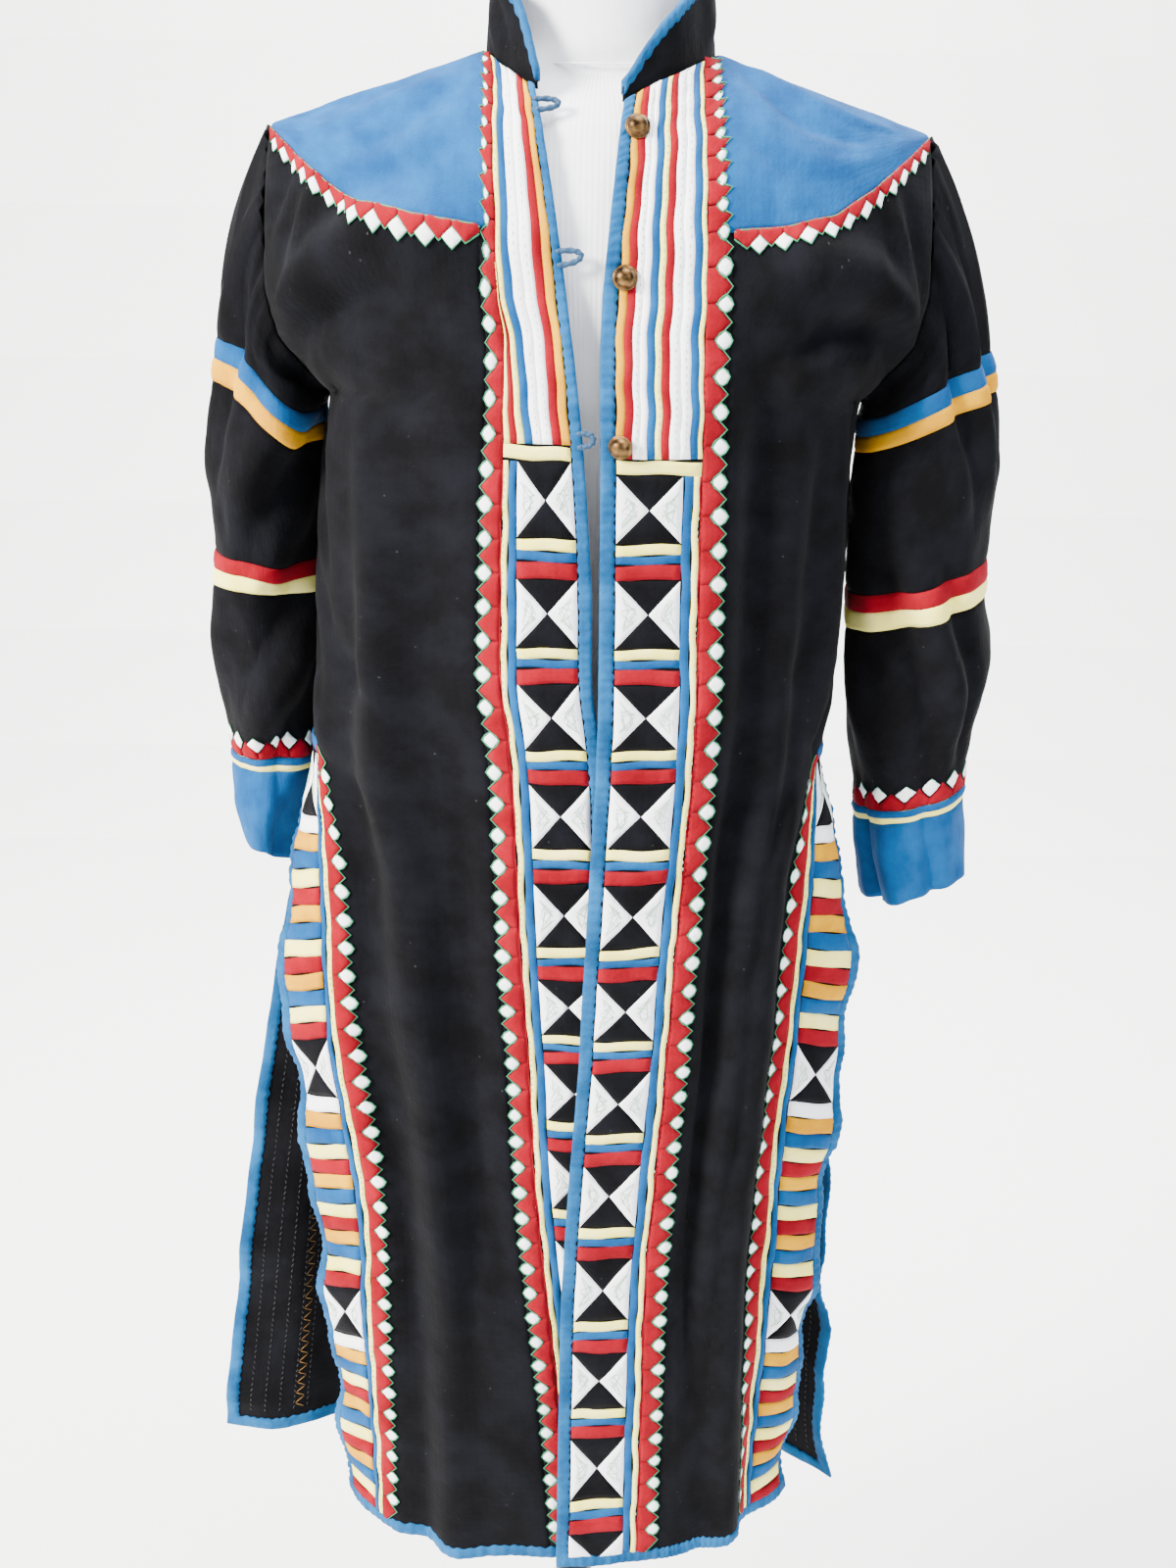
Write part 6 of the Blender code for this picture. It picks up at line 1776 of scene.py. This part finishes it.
def sleeve(side):
    """One sleeve with its strips of trim, its cuff and the teeth above the cuff."""
    drape, lengths = sleeve_drape(side)
    drape.uv_scale = (0.36, 1.0)
    colours = {"washed_black": "washed black", "mid_blue": "mid blue", "cream": "pale cream"}
    for name, first, last, slot in SLEEVE_PIECES:
        colour = colours.get(slot, slot)
        sleeve_tube(name + "_" + side, side, drape, lengths, first, last, colour, slot)
        ring = drape.places(np.linspace(0.0, 1.0, 60), np.full(60, (lengths[first] + lengths[last]) / 2),
                            np.zeros(60))
        around = float(np.linalg.norm(np.diff(ring, axis=0), axis=1).sum())
    cloths, threads = bmesh.new(), bmesh.new()
    base = lengths[CUFF_RING]
    count = 14
    edge = []
    for tooth in range(count):
        def lay(s, t, first=tooth / count):
            tall = 0.005 + 0.0088 * (1.0 - abs(2.0 * s - 1.0))
            return first + s / count, base - tall * t

        raised(cloths, lay, (8, 4), "red", size=(1.0, 0.012))
        edge += [(tooth / count, base - 0.0056), ((tooth + 0.5) / count, base - 0.0144)]

        def round_out(s, t, centre=tooth / count):
            return (centre + (s + t - 1.0) * 0.34 / count) % 1.0, base - 0.0128 + (t - s) * 0.0062

        if tooth:
            diamond(cloths, threads, round_out, PATCH_BASE + 0.0002, (0.01, 0.01), (1.0, 1.0),
                    OVER_PATCH, 1.0)
    edge.append((1.0, base - 0.0056))

    def around(s, t):
        return s, base + 0.0052 * (1.0 - t)

    raised(cloths, around, (96, 4), "mid blue", OVER_PATCH, (1.0, 0.0052))
    bmesh.ops.reverse_faces(cloths, faces=cloths.faces)
    teeth = pair("cuff_teeth_" + side, cloths, threads, drape, "red",
                 node="cuff_teeth_" + side)


def collar():
    """The standing collar, creased where it folds over on itself, with its puckered binding."""
    seam = [front_point("right", float(a), NECK_POINT) for a in np.linspace(0.0, SAW_TIP, 22)]
    seam += [back_point(float(a), NECK_POINT)
             for a in np.linspace(-BACK_NECK_HALF, BACK_NECK_HALF, 41)[1:]]
    seam += [front_point("left", float(a), NECK_POINT) for a in np.linspace(SAW_TIP, 0.0, 22)[1:]]
    lengths = running_lengths(seam)
    total = lengths[-1]
    across = steps(0.0, total, 0.003)
    line = np.array([[np.interp(at, lengths, [point[axis] for point in seam]) for axis in range(3)]
                     for at in across])
    kernel = np.array([0.15, 0.2, 0.3, 0.2, 0.15])
    for _ in range(2):
        padded = np.vstack([line[:1]] * 2 + [line] + [line[-1:]] * 2)
        line[2:-2] = sum(padded[k:k + len(line)] * kernel[k] for k in range(5))[2:-2]
    along = np.gradient(line, axis=0)
    outward = np.stack([along[:, 1], -along[:, 0], np.zeros(len(line))], axis=1)
    outward /= np.linalg.norm(outward, axis=1, keepdims=True)
    facing = outward[:, 0] * line[:, 0] + outward[:, 1] * (line[:, 1] + 0.015)
    outward[facing < 0.0] *= -1.0
    shares = np.linspace(0.0, 1.0, 17)
    points = np.zeros((len(shares), len(across), 3))
    heights = []
    for at in across:
        rise = math.sin(min(1.0, at / COLLAR_RISE["right"], (total - at) / COLLAR_RISE["left"])
                        * math.pi / 2.0)
        low = COLLAR_BINDING + 0.004
        heights.append(low + (COLLAR_HEIGHT - low) * rise)
    heights = np.array(heights)
    for index, share in enumerate(shares):
        rise = heights * share
        wave = 0.0012 * np.sin(across * 2 * np.pi / 0.047 + 1.0) * share
        points[index] = line + outward * (-0.0008 - 0.05 * rise + wave)[:, None]
        points[index, :, 2] += rise
    drape = Drape(across, shares, points, outward)
    grid_a, grid_s = np.meshgrid(across, shares)
    drape = drape.moved(crease_field(COLLAR_CREASES, grid_a, grid_s * COLLAR_HEIGHT)
                        + crumple_field(grid_a, grid_s * 0.045, 0.018, 0.0008, 51.0))
    drape.uv_scale = (1.0, 0.045)
    mesh = bmesh.new()
    grid_piece(mesh, (0.0004, total - 0.0004), (0.0, 0.9), (0.003, 1.0 / 14))
    cloth = finish_piece("collar_cloth", mesh, [COTTONS["washed black"]], drape, 0.0016,
                         "washed_black", "collar")
    profile = [(1.0, -0.0032), (0.5, -0.0034), (0.06, -0.003), (0.0, -0.001), (0.04, 0.0006),
               (0.3, 0.001), (0.7, 0.0009), (1.0, 0.0003), (1.03, -0.001)]
    rows = int(total / 0.0013)

    def place(index, share, lift):
        at = 0.0004 + (total - 0.0008) * index / rows
        here = float(np.interp(at, across, heights))
        wave = math.sin(index * 1.35 + 1.5 * math.sin(index * 0.17)) + 0.5 * math.sin(index * 0.71)
        lift += 0.00035 * wave * (1.0 if lift > -0.0005 else -0.4)
        return at, 1.0 - share * COLLAR_BINDING * (1.0 + 0.06 * wave) / here, lift

    folded_binding("collar_edge", "collar_binding", profile, rows, place, drape, total)


def lathe(name, profile, sides, material, slot, node, places=None):
    """A turned part from (radius, height) points, made at the middle or at given places."""
    mesh = bmesh.new()
    verts = [bmesh.ops.create_vert(mesh, co=(radius, 0.0, height))["vert"][0]
             for radius, height in profile]
    edges = [mesh.edges.new(pair) for pair in zip(verts, verts[1:])]
    bmesh.ops.spin(mesh, geom=verts + edges, cent=(0, 0, 0), axis=(0, 0, 1),
                   angle=math.tau, steps=sides, use_merge=True)
    bmesh.ops.remove_doubles(mesh, verts=mesh.verts, dist=FINE_WELD)
    bmesh.ops.recalc_face_normals(mesh, faces=mesh.faces)
    if places is not None:
        bmesh.ops.transform(mesh, matrix=places, verts=mesh.verts)
    finish_piece(name, mesh, [material], slot=slot, node=node)


def tube(mesh, path, radius, sides=10):
    """Add a round cord along placed points."""
    last = len(path) - 1
    frames = []
    normal = Vector((0.0, -1.0, 0.2)).normalized()
    for index, point in enumerate(path):
        along = (path[min(index + 1, last)] - path[max(index - 1, 0)]).normalized()
        side = normal.cross(along)
        side = side.normalized() if side.length > 0.05 else Vector((1.0, 0.0, 0.0))
        frames.append((point, side, along.cross(side).normalized()))

    def place(s, t):
        index = int(round(t * last))
        angle = s * math.tau
        point, side, other = frames[index]
        twist = radius * (1.0 + 0.16 * math.sin(2.0 * angle + index * 0.9))
        return point + side * twist * math.cos(angle) + other * twist * math.sin(angle)

    bmesh.ops.remove_doubles(mesh, verts=laid_grid(mesh, (sides, last), place), dist=FINE_WELD)


def fastenings(drapes):
    """The brass buttons and the cord loops."""
    profile = [(0.0, 0.0002), (0.006, 0.0002), (0.0072, 0.0006), (0.0076, 0.0014),
               (0.0075, 0.0021), (0.0069, 0.0026), (0.0063, 0.0025), (0.006, 0.0028),
               (0.0056, 0.0041), (0.0046, 0.0056), (0.003, 0.0066), (0.0014, 0.007),
               (0.0, 0.0071)]
    for number, height in enumerate(BUTTON_HEIGHTS, 1):
        up = up_at_height("left", BUTTON_ACROSS, height)
        low, high = drapes["left"].places(np.full(2, BUTTON_ACROSS), np.full(2, up),
                                          np.array([BINDING_OUT + 0.0006, 0.02]))
        low, high = Vector(low), Vector(high)
        aim = (high - low).normalized()
        if number == 3:
            aim = (aim + Vector((-0.35, 0.0, -0.25))).normalized()
            low += Vector((0.0, -0.0016, 0.0))
        turned = Matrix.Translation(low) @ aim.to_track_quat("Z", "Y").to_matrix().to_4x4()
        lathe("button_%d_brass" % number, profile, 40, BRASS, "antique_brass",
              "button_%d" % number, turned)
    for number, (height, reach) in enumerate(LOOPS, 1):
        up = up_at_height("right", 0.0, height)
        middle, raised_by = drapes["right"].places(np.zeros(2), np.full(2, up),
                                                   np.array([0.0012, 0.01]))
        middle, normal = Vector(middle), Vector(raised_by - middle).normalized()
        rise = (front_point("right", 0.0, up + 0.002) - front_point("right", 0.0, up - 0.002))
        rise.normalize()
        away = normal.cross(rise).normalized()
        if away.dot(Vector((1.0, 0.0, 0.0))) < 0.0:
            away.negate()
        mesh = bmesh.new()
        path = []
        for step in range(45):
            angle = math.pi * (step / 44.0 - 0.5) * 1.04
            out = -0.0016 + (reach + 0.001) * max(0.0, math.cos(angle)) ** 0.75
            spread = LOOP_SPREAD * math.sin(angle)
            path.append(middle + away * out + rise * spread + normal * 0.0006)
        tube(mesh, path, 0.0017)
        for end in (path[0], path[-1]):
            knot = Matrix.Translation(end) @ Matrix.Diagonal((0.0023, 0.002, 0.0017, 1.0))
            bmesh.ops.create_icosphere(mesh, subdivisions=2, radius=1.0, matrix=knot)
        bmesh.ops.recalc_face_normals(mesh, faces=mesh.faces)
        finish_piece("loop_%d_cord" % number, mesh, [BLUE_THREAD], slot="mid_blue",
                     node="loop_%d" % number)


def form_level(height):
    """Half width and depths of the dress form below its shoulders and above them."""
    table = FORM_NECK if height > 1.372 else FORM_TORSO
    return [table_value(table, FORM_COLUMNS, column, height) for column in FORM_COLUMNS[1:]]


def form():
    """The padded dress form, its pole and its round base."""
    heights = list(np.linspace(1.4515, 1.376, 18)) + list(np.linspace(1.3695, 1.24, 34)) \
        + list(np.linspace(1.228, 0.717, 78))
    sides = 96
    rings = []
    for height in heights:
        ring = []
        for step in range(sides + 1):
            angle = math.tau * step / sides
            if 1.235 < height < 1.372:
                ring.append(form_shoulder_point(height, angle))
            else:
                half, front, back = form_level(height)
                depth = front if math.sin(angle) < 0.0 else back
                ring.append(Vector((half * math.cos(angle), depth * math.sin(angle), height)))
        rings.append(ring)
    grid = np.array(rings)
    for _ in range(3):
        blurred = grid.copy()
        blurred[1:-1] = grid[:-2] * 0.25 + grid[1:-1] * 0.5 + grid[2:] * 0.25
        around = blurred[:, :-1]
        around = around * 0.5 + np.roll(around, 1, axis=1) * 0.25 + np.roll(around, -1, axis=1) * 0.25
        grid = np.concatenate([around, around[:, :1]], axis=1)
    # Rounded and closed ends.
    top, bottom = grid[0], grid[-1]
    caps = [(0.0, 0.0), (0.9, 0.0), (0.965, -0.0008), (0.992, -0.0022)]
    middle_top, middle_low = top[:-1].mean(axis=0), bottom[:-1].mean(axis=0)
    upper = [middle_top + (top - middle_top) * share + np.array((0, 0, 0.0005 + drop))
             for share, drop in caps]
    lower = [middle_low + (bottom - middle_low) * share + np.array((0, 0, -0.0015 - drop))
             for share, drop in reversed(caps)]
    grid = np.concatenate([upper, grid[1:-1], lower])
    mesh = bmesh.new()
    rows = len(grid) - 1
    made = bmesh.ops.create_grid(mesh, x_segments=sides, y_segments=rows, size=0.5)
    layer = mesh.loops.layers.uv.verify()
    flat = {}
    for vert in made["verts"]:
        s, t = vert.co.x + 0.5, vert.co.y + 0.5
        flat[vert] = (s * 0.9, t)
        vert.co = grid[int(round((1.0 - t) * rows)), int(round(s * sides))]
    for face in mesh.faces:
        for corner in face.loops:
            corner[layer].uv = flat[corner.vert]
    bmesh.ops.remove_doubles(mesh, verts=mesh.verts, dist=FINE_WELD)
    bmesh.ops.recalc_face_normals(mesh, faces=mesh.faces)
    finish_piece("form_torso_jersey", mesh, [JERSEY], slot="jersey", node="form_torso")
    ring = []
    seam = bmesh.new()
    half, front, back = form_level(FORM_SEAM)
    for step in range(121):
        angle = math.tau * step / 120
        depth = front if math.sin(angle) < 0.0 else back
        ring.append(Vector(((half + 0.0006) * math.cos(angle), (depth + 0.0006) * math.sin(angle),
                            FORM_SEAM)))
    tube(seam, ring, 0.0006, 6)
    bmesh.ops.recalc_face_normals(seam, faces=seam.faces)
    finish_piece("form_neck_seam", seam, [JERSEY], slot="jersey")
    lathe("form_pole_steel", [(0.0, HUB_HEIGHT - 0.004), (POLE_RADIUS, HUB_HEIGHT - 0.004),
                              (POLE_RADIUS, POLE_TOP), (0.0, POLE_TOP)],
          64, STEEL, "dark_steel", "form_pole")
    edge = BASE_RADIUS
    lathe("form_base_steel",
          [(0.0, 0.0), (edge - 0.002, 0.0), (edge, 0.002), (edge, BASE_HEIGHT * 0.55),
           (edge - 0.001, BASE_HEIGHT * 0.8), (edge - 0.004, BASE_HEIGHT * 0.97),
           (edge - 0.009, BASE_HEIGHT), (0.06, BASE_HEIGHT + 0.005),
           (HUB_RADIUS + 0.004, BASE_HEIGHT + 0.006), (HUB_RADIUS, BASE_HEIGHT + 0.009),
           (HUB_RADIUS * 0.86, HUB_HEIGHT * 0.8), (HUB_RADIUS * 0.8, HUB_HEIGHT * 0.96),
           (HUB_RADIUS * 0.74, HUB_HEIGHT), (0.0, HUB_HEIGHT)],
          128, STEEL, "dark_steel", "form_base")


def form_shoulder_point(height, angle):
    """A point of the form under the shoulders, just inside the coat."""
    reach = NECK_HALF + (NECK_POINT - height - FORM_DROP) / SHOULDER_SLOPE
    reach = min(reach, straight_value(FORM_CAP, height))
    at = reach * math.cos(angle)
    face = "front" if math.sin(angle) < 0.0 else "back"
    rise = crest_height(at) - FORM_DROP - CHEST
    share = min(1.0, max(0.0, (height - CHEST) / rise))
    round_off = (1.0 - min(1.0, abs(math.cos(angle))) ** 6) ** 0.5
    depth = section_y(face, CHEST, at) * math.sqrt(1.0 - share * share)
    beside_neck = max(0.0, 1.0 - abs(at) / 0.1) * smooth_step((height - 1.34) / 0.03)
    shrink = FORM_SHRINK * (1.0 - FORM_NECK_SHRINK * beside_neck)
    return Vector((at, depth * shrink * round_off, height))


def studio():
    """A plain pale floor, soft lamps all round and the camera at the photo's angle."""
    paper, _, shader = started("matt pale paper")
    shader.inputs["Base Color"].default_value = linear("#fbfbfa")
    shader.inputs["Roughness"].default_value = 0.9
    mesh = bmesh.new()

    def place(s, t):
        x = (s - 0.5) * 12.0
        if t < 0.7:
            return x, -3.5 + t / 0.7 * 6.0, 0.0
        angle = (t - 0.7) / 0.3 * math.pi / 2.0
        return x, 2.5 + 2.2 * math.sin(angle), 2.2 * (1.0 - math.cos(angle))

    laid_grid(mesh, (2, 24), place)
    data = bpy.data.meshes.new("paper_floor")
    mesh.to_mesh(data)
    mesh.free()
    data.materials.append(paper)
    linked("paper_floor", data)
    world = bpy.data.worlds.new("pale room")
    world.use_nodes = True
    back = world.node_tree.nodes["Background"]
    back.inputs["Color"].default_value = linear("#eef1f6")
    back.inputs["Strength"].default_value = 0.72
    bpy.context.scene.world = world
    coat, backdrop = (0.0, 0.0, 0.9), (0.0, 4.0, 0.8)
    lamps = [("key", (-2.6, -1.7, 2.6), coat, (1.0, 1.0), 600.0, "#fffaf2"),
             ("fill", (2.3, -1.9, 2.0), coat, (1.8, 1.8), 75.0, "#eef4ff"),
             ("top", (0.2, -0.4, 3.2), coat, (1.6, 1.6), 120.0, "#ffffff"),
             ("wall", (0.0, 1.2, 3.4), backdrop, (3.0, 1.0), 520.0, "#ffffff"),
             ("rim", (1.6, 2.2, 2.6), coat, (1.2, 1.2), 60.0, "#ffffff")]
    for name, place, target, size, power, colour in lamps:
        data = bpy.data.lights.new(name, "AREA")
        data.shape = "RECTANGLE"
        data.size, data.size_y = size
        data.energy = power
        data.color = linear(colour)[:3]
        lamp = linked(name, data)
        aim = Vector(target) - Vector(place)
        lamp.matrix_world = Matrix.Translation(place) @ aim.to_track_quat("-Z", "Y").to_matrix().to_4x4()
    data = bpy.data.cameras.new("camera")
    data.lens = 45.0
    data.sensor_width = 36.0
    camera = linked("camera", data)
    camera.matrix_world = Matrix.Translation((0.0, -1.308, 1.292)) \
        @ Matrix.Rotation(math.radians(90.0 - 16.46), 4, "X") \
        @ Matrix.Rotation(math.radians(1.05), 4, "Z")
    bpy.context.scene.camera = camera


def main():
    """Dress the form."""
    drapes = {panel: panel_drape(panel) for panel in ("left", "right", "back")}
    for side in ("left", "right"):
        front_band(side, drapes[side])
        front_panel(side, drapes[side])
    back_panel(drapes["back"])
    for panel in ("left", "right", "back"):
        bound_edge(panel, drapes[panel])
    yokes(drapes)
    for side in ("left", "right"):
        sleeve(side)
    collar()
    fastenings(drapes)
    form()
    studio()


main()
